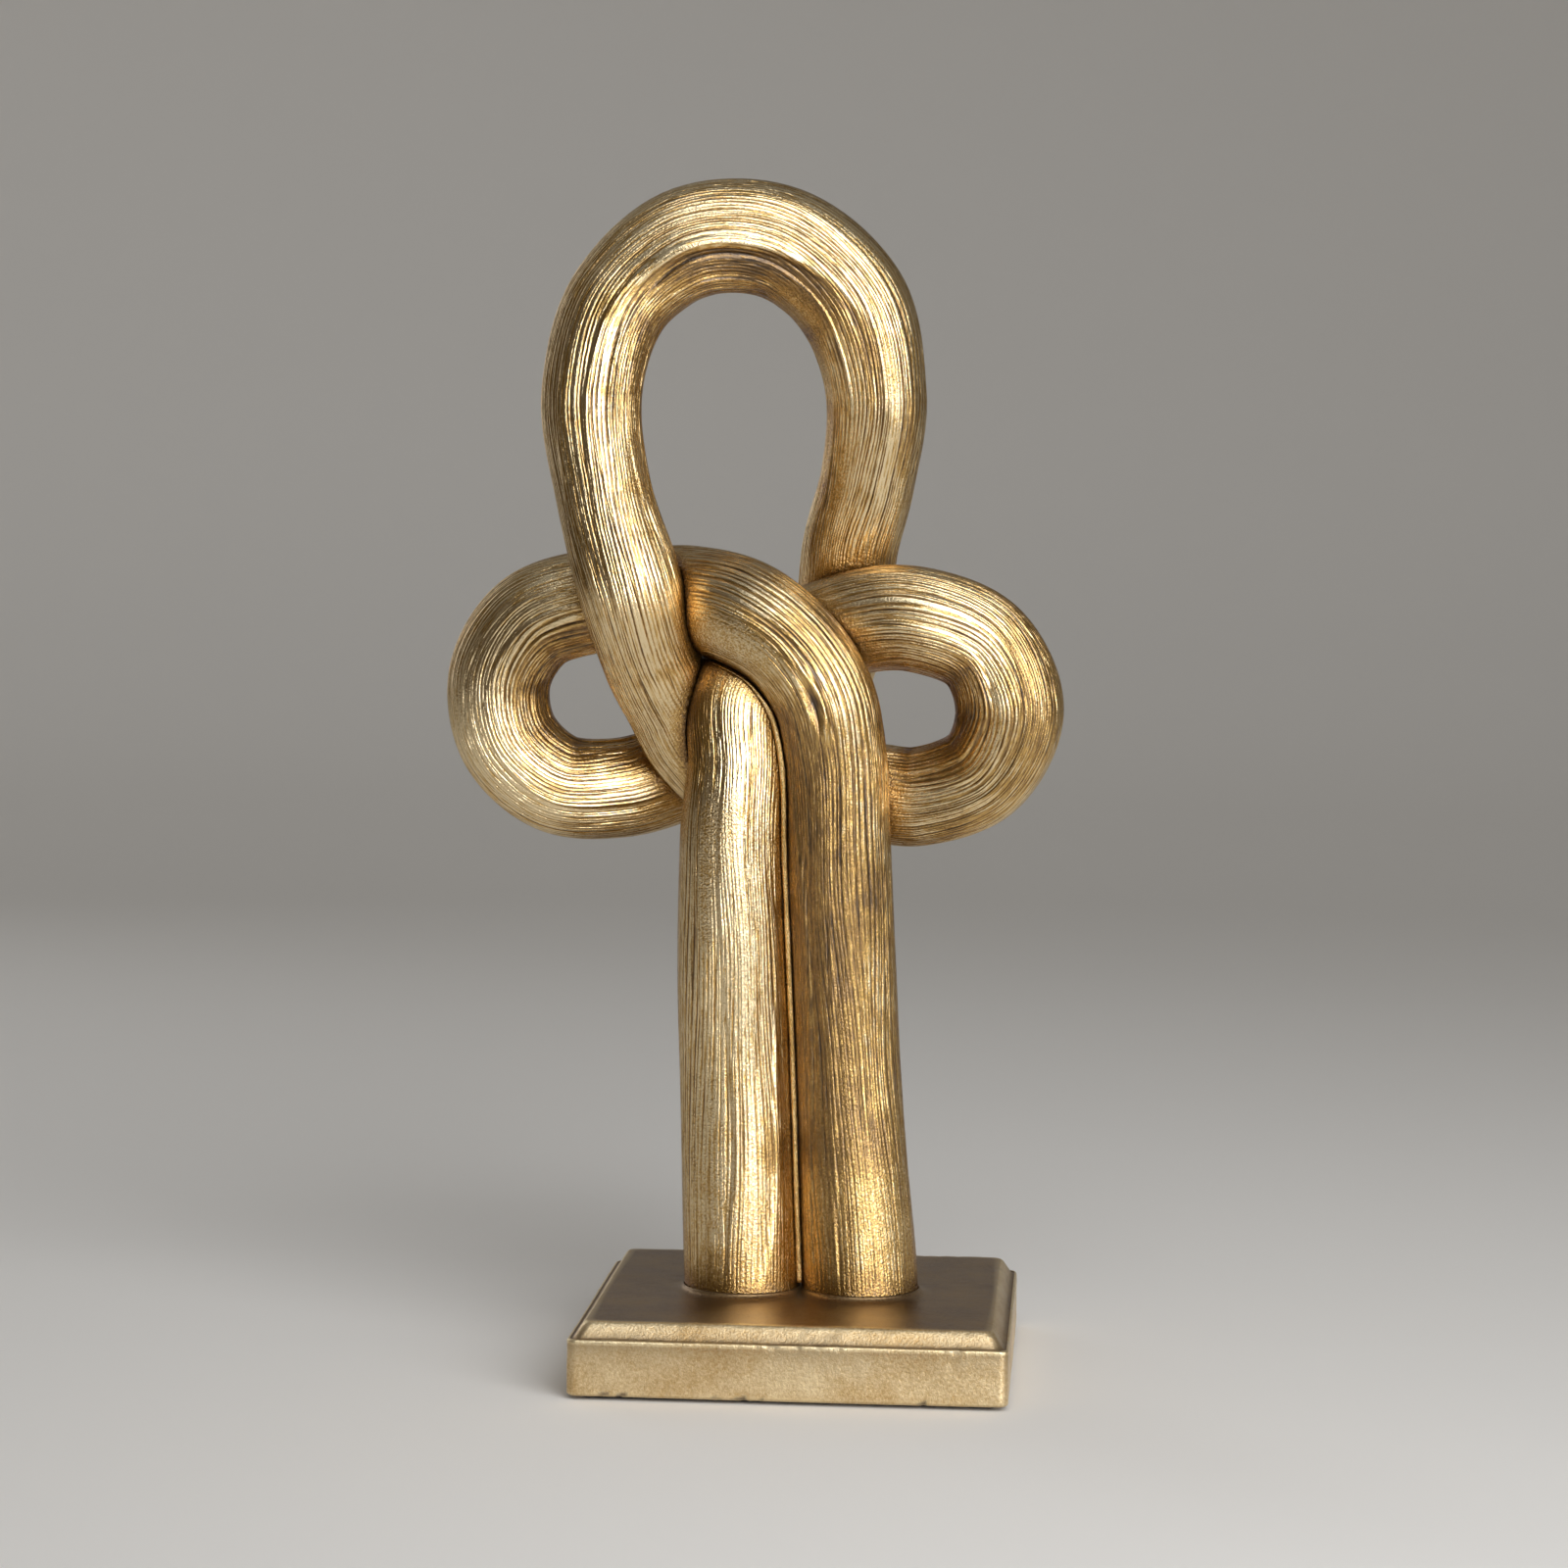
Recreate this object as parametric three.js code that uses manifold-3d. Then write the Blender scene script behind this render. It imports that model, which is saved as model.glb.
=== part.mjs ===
// A knot sculpture: one thick rope-like strand rises from a square plinth, ties itself into
// a tall loop and two side loops, and comes back down beside its own start. The strand is cast
// in five lengths, which meet out of sight under the crossings on steel dowels. Two studs hold
// the feet down on the plinth. Millimetres, +Z up, front towards -Y, origin under the plinth.

import * as THREE from 'three';
import { mergeVertices } from 'three/addons/utils/BufferGeometryUtils.js';
import Module from 'manifold-3d';

const wasm = await Module();
wasm.setup();

// Plinth and the felt under it
const PLINTH_WIDTH = 140;
const PLINTH_HEIGHT = 23.4;
const PLINTH_CORNER_RADIUS = 2.2;
const PLINTH_FOOT_ROUND = 0.8;
const MOULDING_HEIGHT = 5.2;
const MOULDING_INSET = 5.8;
const MOULDING_LEDGE = 1.2;
const FELT_THICKNESS = 1.2;
const FELT_MARGIN = 4;

// Thickness of the strand where it bends, crosses, narrows and stands
const STRAND_DIAMETER = 34;
const FOOT_DIAMETER = 38.4;
const LEFT_LEG_DIAMETER = 37.4;
const RIGHT_LEG_DIAMETER = 34.4;
const NECK_DIAMETER = 31.2;
const FLANK_DIAMETER = 32.8;
const CROWN_DIAMETER = 37;
const BEND_DIAMETER = 36;

// Legs, side by side with a seam between them that leans to the left
const LEG_HEIGHT = 149;
const LEG_MIDDLE_HEIGHT = 85;
const LEG_GAP = 0.6;
const LEG_LEAN_DEGREES = 2.6;
const SOCKET_DEPTH = 4;
const FOOT_FILLET = 2;
const BEAD_DIAMETER = 1.8;

// Layers of the knot, front to back: 0 is the front strand of a crossing, 1 the strand under it
const FRONT_LAYER_Y = -16;
const NEST_DEPTH = 9;
const LAYER_STEP = STRAND_DIAMETER - NEST_DEPTH;
const FOOT_LAYER = 0.48;
const LEG_TOP_LAYER = 0.3;

// Bends of the strand: x and rise of the centre from the top of the legs' seam, half sizes,
// start and end angles, and the layer at even steps along the arc
const ARCH = {
  x: -33.2, rise: 29.4, halfWidth: 49, halfHeight: 49, from: 0, to: 90,
  layers: [0.2, 0.08, 0, 0.2, 0.72],
};
const LEFT_LOOP = {
  x: -66.2, rise: 45.4, halfWidth: 32, halfHeight: 32, from: 90, to: 285,
  layers: [1.05, 1.05, 1.1, 1.2, 1.4, 1.7],
};
const TALL_LOOP = {
  x: -19.2, rise: 146.4, halfWidth: 46, halfHeight: 51.5, from: 0, to: 180,
  layers: [1.05, 0.88, 0.74, 0.6, 0.46, 0.32],
};
const RIGHT_LOOP = {
  x: 42.8, rise: 43.4, halfWidth: 29.5, halfHeight: 29.5, from: -90, to: 90,
  layers: [1.16, 1.05, 0.92, 0.8, 0.72],
};

// Places that the strand passes between the bends, measured the same way
const ARCH_JOINT = { x: -51.2, rise: 78.4, layer: 1.05 };
const RISER_START = { x: -39.2, rise: 19.9, layer: 1.95 };
const RISER_MIDDLE = { x: -15.2, rise: 31.4, layer: 2.05 };
const RISER_TURN = { x: 5.8, rise: 48.4, layer: 1.95 };
const RISER_JOINT = { x: 15.1, rise: 73.4, layer: 1.78 };
const TALL_NECK = { x: 18.1, rise: 96.4, layer: 1.6 };
const TALL_SHOULDER = { x: 23.8, rise: 118.4, layer: 1.35 };
const DESCENT = { x: -60.7, rise: 114.4, layer: 0.1 };
const TALL_CROSSING = { x: -50.7, rise: 82.4, layer: -0.05 };
const TAIL_TOP = { x: -44.2, rise: 58.9, layer: 0.42 };
const TAIL_MIDDLE = { x: -38.6, rise: 44.4, layer: 0.74 };
const TAIL_TURN = { x: -31.2, rise: 29.9, layer: 1.04 };
const TAIL_LOW = { x: -17.2, rise: 17.9, layer: 1.2 };
const TAIL_JOINT = { x: 2.8, rise: 15.9, layer: 1.26 };
const RIGHT_LOOP_START = { x: 25.8, rise: 14.9, layer: 1.24 };
const RIGHT_LOOP_END = { x: 24.8, rise: 72.4, layer: 0.82 };
const LEFT_ARCH_JOINT = { x: -1.2, rise: 62.4, layer: 1 };
const LEFT_ARCH_SIDE = { x: -15.2, rise: 48.4, layer: 0.6 };
const LEFT_ARCH_LOW = { x: -15.8, rise: 24.4, layer: 0.32 };

// Fastenings
const DOWEL_DIAMETER = 6;
const DOWEL_LENGTH = 28;
const STUD_DIAMETER = 8;
const STUD_DEPTH_IN_LEG = 40;
const STUD_TAIL = 0.8;
const WASHER_DIAMETER = 18;
const WASHER_THICKNESS = 1.6;
const NUT_ACROSS_FLATS = 13;
const NUT_HEIGHT = 6.4;
const SPANNER_ROOM = 3;

// Clearances
const SEAT_GAP = 0.3;
const BORE_CLEARANCE = 0.3;

// Fineness of the round forms
const STRAND_SIDES = 18;
const STRAND_STEP = 7.5;
const BORE_SIDES = 20;
const BEAD_SIDES = 8;
const CORNER_STEPS = 4;
const MOULDING_STEPS = 7;
const FILLET_STEPS = 3;
const CURVE_STEPS_PER_SPAN = 60;
const MERGE_DISTANCE = 1e-4;
const HALVINGS = 30;

// Heights that follow from the sizes above
const PLINTH_BOTTOM = FELT_THICKNESS;
const PLINTH_TOP = PLINTH_BOTTOM + PLINTH_HEIGHT;
const SOCKET_FLOOR = PLINTH_TOP - SOCKET_DEPTH;
const STUD_TOP = SOCKET_FLOOR + STUD_DEPTH_IN_LEG;
const STUD_BOTTOM = PLINTH_BOTTOM + SEAT_GAP;
const NUT_BOTTOM = STUD_BOTTOM + STUD_TAIL;
const WASHER_BOTTOM = NUT_BOTTOM + NUT_HEIGHT + SEAT_GAP;
const COUNTERBORE_ROOF = WASHER_BOTTOM + WASHER_THICKNESS + SEAT_GAP;
const COUNTERBORE_DIAMETER = WASHER_DIAMETER + 2 * SPANNER_ROOM;
const STUD_BORE = STUD_DIAMETER + 2 * BORE_CLEARANCE;

// Turns a closed geometry into a solid that can be joined and cut
function solidOf(geometry) {
  geometry.deleteAttribute('normal');
  geometry.deleteAttribute('uv');
  const merged = mergeVertices(geometry, MERGE_DISTANCE);
  const vertProperties = new Float32Array(merged.attributes.position.array);
  const triVerts = new Uint32Array(merged.index.array);
  return new wasm.Manifold(new wasm.Mesh({ numProp: 3, vertProperties, triVerts }));
}

// Turns a solid back into a geometry, leaving out slivers that a cut has freed
function geometryOf(solid) {
  const bodies = solid.decompose();
  const body = bodies.reduce((best, next) => (next.volume() > best.volume() ? next : best));
  const mesh = body.getMesh();
  const geometry = new THREE.BufferGeometry();
  geometry.setAttribute('position', new THREE.BufferAttribute(mesh.vertProperties, 3));
  geometry.setIndex(new THREE.BufferAttribute(mesh.triVerts, 1));
  geometry.computeVertexNormals();
  return geometry;
}

// Skins a row of closed rings of equal count and caps both ends
function loft(rings) {
  const count = rings[0].length;
  const positions = [];
  const index = [];
  for (const ring of rings) {
    for (const point of ring) {
      positions.push(point.x, point.y, point.z);
    }
  }
  for (let row = 0; row + 1 < rings.length; row += 1) {
    for (let side = 0; side < count; side += 1) {
      const a = row * count + side;
      const b = row * count + ((side + 1) % count);
      index.push(a, b, a + count, b, b + count, a + count);
    }
  }
  const last = (rings.length - 1) * count;
  for (let side = 1; side + 1 < count; side += 1) {
    index.push(0, side + 1, side);
    index.push(last, last + side, last + side + 1);
  }
  const geometry = new THREE.BufferGeometry();
  geometry.setAttribute('position', new THREE.Float32BufferAttribute(positions, 3));
  geometry.setIndex(index);
  return geometry;
}

// A cylinder that stands along Z from one height to another
function uprightCylinder(place, bottom, top, diameter) {
  const geometry = new THREE.CylinderGeometry(diameter / 2, diameter / 2, top - bottom, BORE_SIDES);
  geometry.rotateX(Math.PI / 2);
  geometry.translate(place.x, place.y, (bottom + top) / 2);
  return geometry;
}

// The strand's centre line as a list of knots, each a point and a thickness
const toRadians = THREE.MathUtils.degToRad;
const layerY = (layer) => FRONT_LAYER_Y + layer * LAYER_STEP;
const seamX = (height) => -Math.tan(toRadians(LEG_LEAN_DEGREES)) * height;

function knot({ x, rise, layer }, diameter) {
  const point = new THREE.Vector3(seamX(LEG_HEIGHT) + x, layerY(layer), PLINTH_TOP + LEG_HEIGHT + rise);
  return { point, diameter };
}

// Knots evenly spaced on a bend, one for each of its layers
function bendKnots(bend, diameters) {
  return bend.layers.map((layer, i) => {
    const share = i / (bend.layers.length - 1);
    const angle = toRadians(bend.from + (bend.to - bend.from) * share);
    const x = bend.x + bend.halfWidth * Math.cos(angle);
    const rise = bend.rise + bend.halfHeight * Math.sin(angle);
    return knot({ x, rise, layer }, diameters[i]);
  });
}

// Knots of a leg from the foot up, with its flank against the seam: side is 1 right, -1 left
function legKnots(side, middleDiameter) {
  const rows = [
    { height: SEAT_GAP - SOCKET_DEPTH, layer: FOOT_LAYER, diameter: FOOT_DIAMETER },
    { height: LEG_MIDDLE_HEIGHT, layer: FOOT_LAYER, diameter: middleDiameter },
    { height: LEG_HEIGHT, layer: LEG_TOP_LAYER, diameter: STRAND_DIAMETER },
  ];
  return rows.map(({ height, layer, diameter }) => {
    const x = seamX(height) + side * (diameter / 2 + LEG_GAP / 2);
    return { point: new THREE.Vector3(x, layerY(layer), PLINTH_TOP + height), diameter };
  });
}

const rightLegKnots = [
  ...legKnots(1, RIGHT_LEG_DIAMETER),
  ...bendKnots(ARCH, [
    STRAND_DIAMETER, STRAND_DIAMETER, STRAND_DIAMETER, BEND_DIAMETER, BEND_DIAMETER,
  ]),
  knot(ARCH_JOINT, STRAND_DIAMETER),
];
const leftLoopKnots = [
  ...bendKnots(LEFT_LOOP, LEFT_LOOP.layers.map(() => STRAND_DIAMETER)),
  knot(RISER_START, STRAND_DIAMETER),
  knot(RISER_MIDDLE, STRAND_DIAMETER),
  knot(RISER_TURN, FLANK_DIAMETER),
  knot(RISER_JOINT, NECK_DIAMETER),
];
const tallLoopKnots = [
  knot(TALL_NECK, NECK_DIAMETER),
  knot(TALL_SHOULDER, NECK_DIAMETER),
  ...bendKnots(TALL_LOOP, [
    FLANK_DIAMETER, CROWN_DIAMETER, CROWN_DIAMETER, CROWN_DIAMETER, STRAND_DIAMETER, FLANK_DIAMETER,
  ]),
  knot(DESCENT, NECK_DIAMETER),
  knot(TALL_CROSSING, STRAND_DIAMETER),
  knot(TAIL_TOP, FLANK_DIAMETER),
  knot(TAIL_MIDDLE, NECK_DIAMETER),
  knot(TAIL_TURN, NECK_DIAMETER),
  knot(TAIL_LOW, NECK_DIAMETER),
  knot(TAIL_JOINT, FLANK_DIAMETER),
];
const rightLoopKnots = [
  knot(RIGHT_LOOP_START, FLANK_DIAMETER),
  ...bendKnots(RIGHT_LOOP, [
    FLANK_DIAMETER, STRAND_DIAMETER, BEND_DIAMETER, STRAND_DIAMETER, STRAND_DIAMETER,
  ]),
  knot(RIGHT_LOOP_END, STRAND_DIAMETER),
  knot(LEFT_ARCH_JOINT, FLANK_DIAMETER),
];
const leftLegKnots = [
  knot(LEFT_ARCH_SIDE, BEND_DIAMETER),
  knot(LEFT_ARCH_LOW, FLANK_DIAMETER),
  ...legKnots(-1, LEFT_LEG_DIAMETER).reverse(),
];

// The five cast lengths in order, each ending at the last knot of its list
const runs = [
  ['right_leg', rightLegKnots],
  ['left_loop', leftLoopKnots],
  ['tall_loop', tallLoopKnots],
  ['right_loop', rightLoopKnots],
  ['left_leg', leftLegKnots],
];
const knots = runs.flatMap(([, list]) => list);
const centreLine = new THREE.CatmullRomCurve3(knots.map(({ point }) => point));
centreLine.arcLengthDivisions = (knots.length - 1) * CURVE_STEPS_PER_SPAN;
const lengths = centreLine.getLengths();
const strandLength = lengths[lengths.length - 1];
const lengthAtKnot = (i) => lengths[i * CURVE_STEPS_PER_SPAN];

const sections = {};
let knotsSoFar = 0;
for (const [name, list] of runs) {
  const from = lengthAtKnot(Math.max(knotsSoFar - 1, 0));
  knotsSoFar += list.length;
  sections[name] = { from, to: lengthAtKnot(knotsSoFar - 1) };
}

// Thickness eases from one knot's value to the next
function diameterAt(length) {
  const span = centreLine.getUtoTmapping(length / strandLength) * (knots.length - 1);
  const i = Math.min(Math.floor(span), knots.length - 2);
  const blend = THREE.MathUtils.smoothstep(span - i, 0, 1);
  return THREE.MathUtils.lerp(knots[i].diameter, knots[i + 1].diameter, blend);
}

// Centre, radius and section directions of the strand at a length along it
function stationAt(length) {
  const share = length / strandLength;
  const centre = centreLine.getPointAt(share);
  const along = centreLine.getTangentAt(share);
  const across = new THREE.Vector3(0, 1, 0).cross(along).normalize();
  const back = along.clone().cross(across);
  return { centre, along, across, back, radius: diameterAt(length) / 2 };
}

// A length of the strand as a round solid, with its skin grown. Its ends are drawn back square
// to the joint, or cut level where it stands in a socket
function strandSolid({ from, to }, grow) {
  const steps = Math.ceil((to - from) / STRAND_STEP);
  const rings = [];
  for (let i = 0; i <= steps; i += 1) {
    const { centre, along, across, back, radius } = stationAt(from + ((to - from) * i) / steps);
    const isFoot = (i === 0 && from === 0) || (i === steps && to === strandLength);
    if (!isFoot && i === 0) {
      centre.addScaledVector(along, SEAT_GAP / 2);
    }
    if (!isFoot && i === steps) {
      centre.addScaledVector(along, -SEAT_GAP / 2);
    }
    const ring = [];
    for (let side = 0; side < STRAND_SIDES; side += 1) {
      const angle = (2 * Math.PI * side) / STRAND_SIDES;
      const point = centre.clone();
      point.addScaledVector(across, (radius + grow) * Math.cos(angle));
      point.addScaledVector(back, (radius + grow) * Math.sin(angle));
      if (isFoot) {
        point.z = SOCKET_FLOOR + SEAT_GAP - grow;
      }
      ring.push(point);
    }
    rings.push(ring);
  }
  return solidOf(loft(rings));
}

// Dowels across the joints: name, the length that ends there and the length that begins
const joints = [
  ['arch_dowel', 'right_leg', 'left_loop'],
  ['riser_dowel', 'left_loop', 'tall_loop'],
  ['tail_dowel', 'tall_loop', 'right_loop'],
  ['left_arch_dowel', 'right_loop', 'left_leg'],
];

function dowel(before, grow) {
  const { centre, along } = stationAt(sections[before].to);
  const radius = DOWEL_DIAMETER / 2 + grow;
  const geometry = new THREE.CylinderGeometry(radius, radius, DOWEL_LENGTH + 2 * grow, BORE_SIDES);
  geometry.applyQuaternion(new THREE.Quaternion().setFromUnitVectors(new THREE.Vector3(0, 1, 0), along));
  geometry.translate(centre.x, centre.y, centre.z);
  return geometry;
}

// Studs stand upright in the middle of each foot
const studs = [
  { side: 'right', leg: 'right_leg', place: stationAt(0).centre },
  { side: 'left', leg: 'left_leg', place: stationAt(strandLength).centre },
];

// Which lengths pass over each length: it is hollowed to bed them
const passesOver = {
  right_leg: ['tall_loop'],
  left_loop: ['tall_loop', 'right_leg', 'right_loop', 'left_leg'],
  tall_loop: ['left_leg', 'right_loop'],
  right_loop: ['right_leg'],
  left_leg: ['right_leg'],
};

function castLength(name) {
  let solid = strandSolid(sections[name], 0);
  for (const over of passesOver[name]) {
    solid = solid.subtract(strandSolid(sections[over], SEAT_GAP));
  }
  for (const [, before, after] of joints) {
    if (name === before || name === after) {
      solid = solid.subtract(solidOf(dowel(before, BORE_CLEARANCE)));
    }
  }
  for (const { leg, place } of studs) {
    if (name === leg) {
      const bore = uprightCylinder(place, SOCKET_FLOOR - SEAT_GAP, STUD_TOP + SEAT_GAP, STUD_BORE);
      solid = solid.subtract(solidOf(bore));
    }
  }
  return geometryOf(solid);
}

// A square outline with rounded corners at one height
function squareRing(width, z) {
  const half = width / 2 - PLINTH_CORNER_RADIUS;
  const ring = [];
  for (const [corner, [sx, sy]] of [[1, 1], [-1, 1], [-1, -1], [1, -1]].entries()) {
    for (let step = 0; step <= CORNER_STEPS; step += 1) {
      const angle = (Math.PI / 2) * (corner + step / CORNER_STEPS);
      const x = sx * half + PLINTH_CORNER_RADIUS * Math.cos(angle);
      const y = sy * half + PLINTH_CORNER_RADIUS * Math.sin(angle);
      ring.push(new THREE.Vector3(x, y, z));
    }
  }
  return ring;
}

// The plinth's edge from the bottom up: eased foot, upright face, ledge and ogee moulding.
// Each point is an inset and a height; the ogee is hollow below and round above
function plinthEdge() {
  const mouldingFoot = PLINTH_TOP - MOULDING_HEIGHT;
  const ease = (MOULDING_INSET - MOULDING_LEDGE) / 4;
  const ogee = new THREE.CubicBezierCurve(
    new THREE.Vector2(MOULDING_LEDGE, mouldingFoot),
    new THREE.Vector2(MOULDING_LEDGE + ease, mouldingFoot),
    new THREE.Vector2(MOULDING_INSET - ease, PLINTH_TOP),
    new THREE.Vector2(MOULDING_INSET, PLINTH_TOP),
  );
  return [
    new THREE.Vector2(PLINTH_FOOT_ROUND, PLINTH_BOTTOM),
    new THREE.Vector2(0, PLINTH_BOTTOM + PLINTH_FOOT_ROUND),
    new THREE.Vector2(0, mouldingFoot),
    ...ogee.getPoints(MOULDING_STEPS),
  ];
}

// A hollow-curved fillet of casting round a foot
function footFillet(place) {
  const inner = FOOT_DIAMETER / 2 - FOOT_FILLET;
  const outer = FOOT_DIAMETER / 2 + SEAT_GAP + FOOT_FILLET;
  const profile = new THREE.Path();
  profile.moveTo(inner, -FOOT_FILLET);
  profile.lineTo(outer, -FOOT_FILLET);
  profile.lineTo(outer, 0);
  profile.absarc(outer, FOOT_FILLET, FOOT_FILLET, -Math.PI / 2, -Math.PI, true);
  profile.lineTo(inner, FOOT_FILLET);
  profile.closePath();
  const geometry = new THREE.LatheGeometry(profile.getPoints(FILLET_STEPS), 2 * STRAND_SIDES);
  geometry.rotateX(Math.PI / 2);
  geometry.translate(place.x, place.y, PLINTH_TOP);
  return geometry;
}

function plinth() {
  const rings = plinthEdge().map(({ x: inset, y: z }) => squareRing(PLINTH_WIDTH - 2 * inset, z));
  let solid = solidOf(loft(rings));
  for (const { place } of studs) {
    solid = solid.add(solidOf(footFillet(place)));
  }
  const below = PLINTH_BOTTOM - SEAT_GAP;
  for (const { leg, place } of studs) {
    const bore = uprightCylinder(place, below, SOCKET_FLOOR + SEAT_GAP, STUD_BORE);
    const counterbore = uprightCylinder(place, below, COUNTERBORE_ROOF, COUNTERBORE_DIAMETER);
    solid = solid.subtract(strandSolid(sections[leg], SEAT_GAP));
    solid = solid.subtract(solidOf(bore));
    solid = solid.subtract(solidOf(counterbore));
  }
  return geometryOf(solid);
}

function felt() {
  const ring = squareRing(PLINTH_WIDTH - 2 * FELT_MARGIN, 0);
  const shape = new THREE.Shape(ring.map(({ x, y }) => new THREE.Vector2(x, y)));
  return new THREE.ExtrudeGeometry(shape, { depth: FELT_THICKNESS, bevelEnabled: false });
}

// An outline with a hole for the stud, made into a plate
function drilledPlate(place, outline, bottom, thickness) {
  const hole = new THREE.Path();
  hole.absarc(0, 0, STUD_BORE / 2, 0, 2 * Math.PI, true);
  outline.holes.push(hole);
  const options = { depth: thickness, bevelEnabled: false, curveSegments: BORE_SIDES / 2 };
  const geometry = new THREE.ExtrudeGeometry(outline, options);
  geometry.translate(place.x, place.y, bottom);
  return geometry;
}

function washer(place) {
  const outline = new THREE.Shape();
  outline.absarc(0, 0, WASHER_DIAMETER / 2, 0, 2 * Math.PI, false);
  return drilledPlate(place, outline, WASHER_BOTTOM, WASHER_THICKNESS);
}

function nut(place) {
  const corner = NUT_ACROSS_FLATS / 2 / Math.cos(Math.PI / 6);
  const points = [];
  for (let i = 0; i < 6; i += 1) {
    const angle = (Math.PI / 3) * i;
    points.push(new THREE.Vector2(corner * Math.cos(angle), corner * Math.sin(angle)));
  }
  return drilledPlate(place, new THREE.Shape(points), NUT_BOTTOM, NUT_HEIGHT);
}

// Distance from a point to the surface of the right leg and its arch
const archStations = [];
for (let length = 0; length < sections.right_leg.to; length += BEAD_DIAMETER / 2) {
  archStations.push(stationAt(length));
}
function distanceToArch(point) {
  return Math.min(...archStations.map(({ centre, radius }) => point.distanceTo(centre) - radius));
}

// The bead lies where a ball of its size rests on both legs, in the front groove between them:
// the ball rolls round the left leg from its outer side until it meets the arch
function beadPoint(length) {
  const { centre, across, back, radius } = stationAt(length);
  const reach = radius + SEAT_GAP + BEAD_DIAMETER / 2;
  const right = across.clone().multiplyScalar(Math.sign(across.x));
  let clear = -Math.PI / 2;
  let touching = Math.PI / 2;
  let point = centre;
  for (let i = 0; i < HALVINGS; i += 1) {
    const angle = (clear + touching) / 2;
    point = centre.clone();
    point.addScaledVector(back, -reach * Math.cos(angle));
    point.addScaledVector(right, reach * Math.sin(angle));
    if (distanceToArch(point) > SEAT_GAP + BEAD_DIAMETER / 2) {
      clear = angle;
    } else {
      touching = angle;
    }
  }
  return point;
}

function bead() {
  const top = lengthAtKnot(knots.length - leftLegKnots.length);
  const footRise = SOCKET_DEPTH + FOOT_FILLET;
  const foot = strandLength - footRise / Math.cos(toRadians(LEG_LEAN_DEGREES));
  const steps = Math.ceil((foot - top) / STRAND_STEP);
  const points = [];
  for (let i = 0; i <= steps; i += 1) {
    points.push(beadPoint(top + ((foot - top) * i) / steps));
  }
  const section = new THREE.Shape();
  section.absarc(0, 0, BEAD_DIAMETER / 2, 0, 2 * Math.PI, false);
  const options = {
    steps: 2 * steps,
    extrudePath: new THREE.CatmullRomCurve3(points),
    curveSegments: BEAD_SIDES / 2,
    bevelEnabled: false,
  };
  let solid = solidOf(new THREE.ExtrudeGeometry(section, options));
  for (const leg of ['left_leg', 'right_leg']) {
    solid = solid.subtract(strandSolid(sections[leg], SEAT_GAP));
  }
  return geometryOf(solid);
}

// Finishes: gilt casting resin, zinc-plated steel and dark felt
const giltStrand = new THREE.MeshStandardMaterial({ color: 0xb8944f, roughness: 0.34, metalness: 0.9 });
const giltPlinth = new THREE.MeshStandardMaterial({ color: 0xa88a56, roughness: 0.45, metalness: 0.85 });
const steel = new THREE.MeshStandardMaterial({ color: 0xa9adb0, roughness: 0.4, metalness: 1 });
const feltCloth = new THREE.MeshStandardMaterial({ color: 0x2b2622, roughness: 1, metalness: 0 });

const sculpture = new THREE.Group();

function addPart(name, geometry, material) {
  const mesh = new THREE.Mesh(geometry, material.clone());
  mesh.name = name;
  sculpture.add(mesh);
}

addPart('base_felt', felt(), feltCloth);
addPart('plinth', plinth(), giltPlinth);
for (const [name] of runs) {
  addPart(name, castLength(name), giltStrand);
}
addPart('groove_bead', bead(), giltStrand);
for (const [name, before] of joints) {
  addPart(name, dowel(before, 0), steel);
}
for (const { side, place } of studs) {
  addPart(`${side}_stud`, uprightCylinder(place, STUD_BOTTOM, STUD_TOP, STUD_DIAMETER), steel);
  addPart(`${side}_washer`, washer(place), steel);
  addPart(`${side}_nut`, nut(place), steel);
}

export default sculpture;
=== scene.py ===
import bpy
import numpy as np
from mathutils import Matrix, Vector


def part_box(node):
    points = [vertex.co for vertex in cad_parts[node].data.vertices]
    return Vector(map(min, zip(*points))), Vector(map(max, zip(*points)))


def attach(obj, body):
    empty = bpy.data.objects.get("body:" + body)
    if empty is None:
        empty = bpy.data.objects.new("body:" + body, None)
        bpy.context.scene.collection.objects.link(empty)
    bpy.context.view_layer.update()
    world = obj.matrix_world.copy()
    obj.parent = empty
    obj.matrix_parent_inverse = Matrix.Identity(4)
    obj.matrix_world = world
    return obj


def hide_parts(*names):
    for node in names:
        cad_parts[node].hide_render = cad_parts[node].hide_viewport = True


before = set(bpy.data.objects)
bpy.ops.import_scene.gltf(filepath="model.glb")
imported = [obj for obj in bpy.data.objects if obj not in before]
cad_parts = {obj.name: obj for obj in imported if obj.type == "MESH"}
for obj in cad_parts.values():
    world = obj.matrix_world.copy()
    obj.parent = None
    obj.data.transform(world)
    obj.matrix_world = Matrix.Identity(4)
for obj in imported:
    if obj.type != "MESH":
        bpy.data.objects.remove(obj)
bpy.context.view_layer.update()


# Felt pad
# A square of dark needled wool felt under the plinth, so that it can't scratch a table.
# It is cut with a blade, so its edge runs a little uneven, and glued on over the nuts.
# Its sizes and those below are in mm. They become metres in a mesh or on a shader's socket.
MM = 0.001
PAD_CORNER = 2.2
PAD_SWAY = 0.6
PAD_SWAY_LENGTH = 7
PAD_EDGE = 0.3
PAD_INSETS = [62, 26, 4, PAD_EDGE, 0]
SIDE_POINTS = 90
CORNER_POINTS = 12
CLOUD_CELLS = 64


def linear(hex_colour):
    """An sRGB hex colour as linear red, green, blue and alpha: the sRGB curve undone in each channel."""
    channels = [int(hex_colour[i:i + 2], 16) / 255 for i in (1, 3, 5)]
    return [c / 12.92 if c <= 0.04045 else ((c + 0.055) / 1.055) ** 2.4 for c in channels] + [1]


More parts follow.
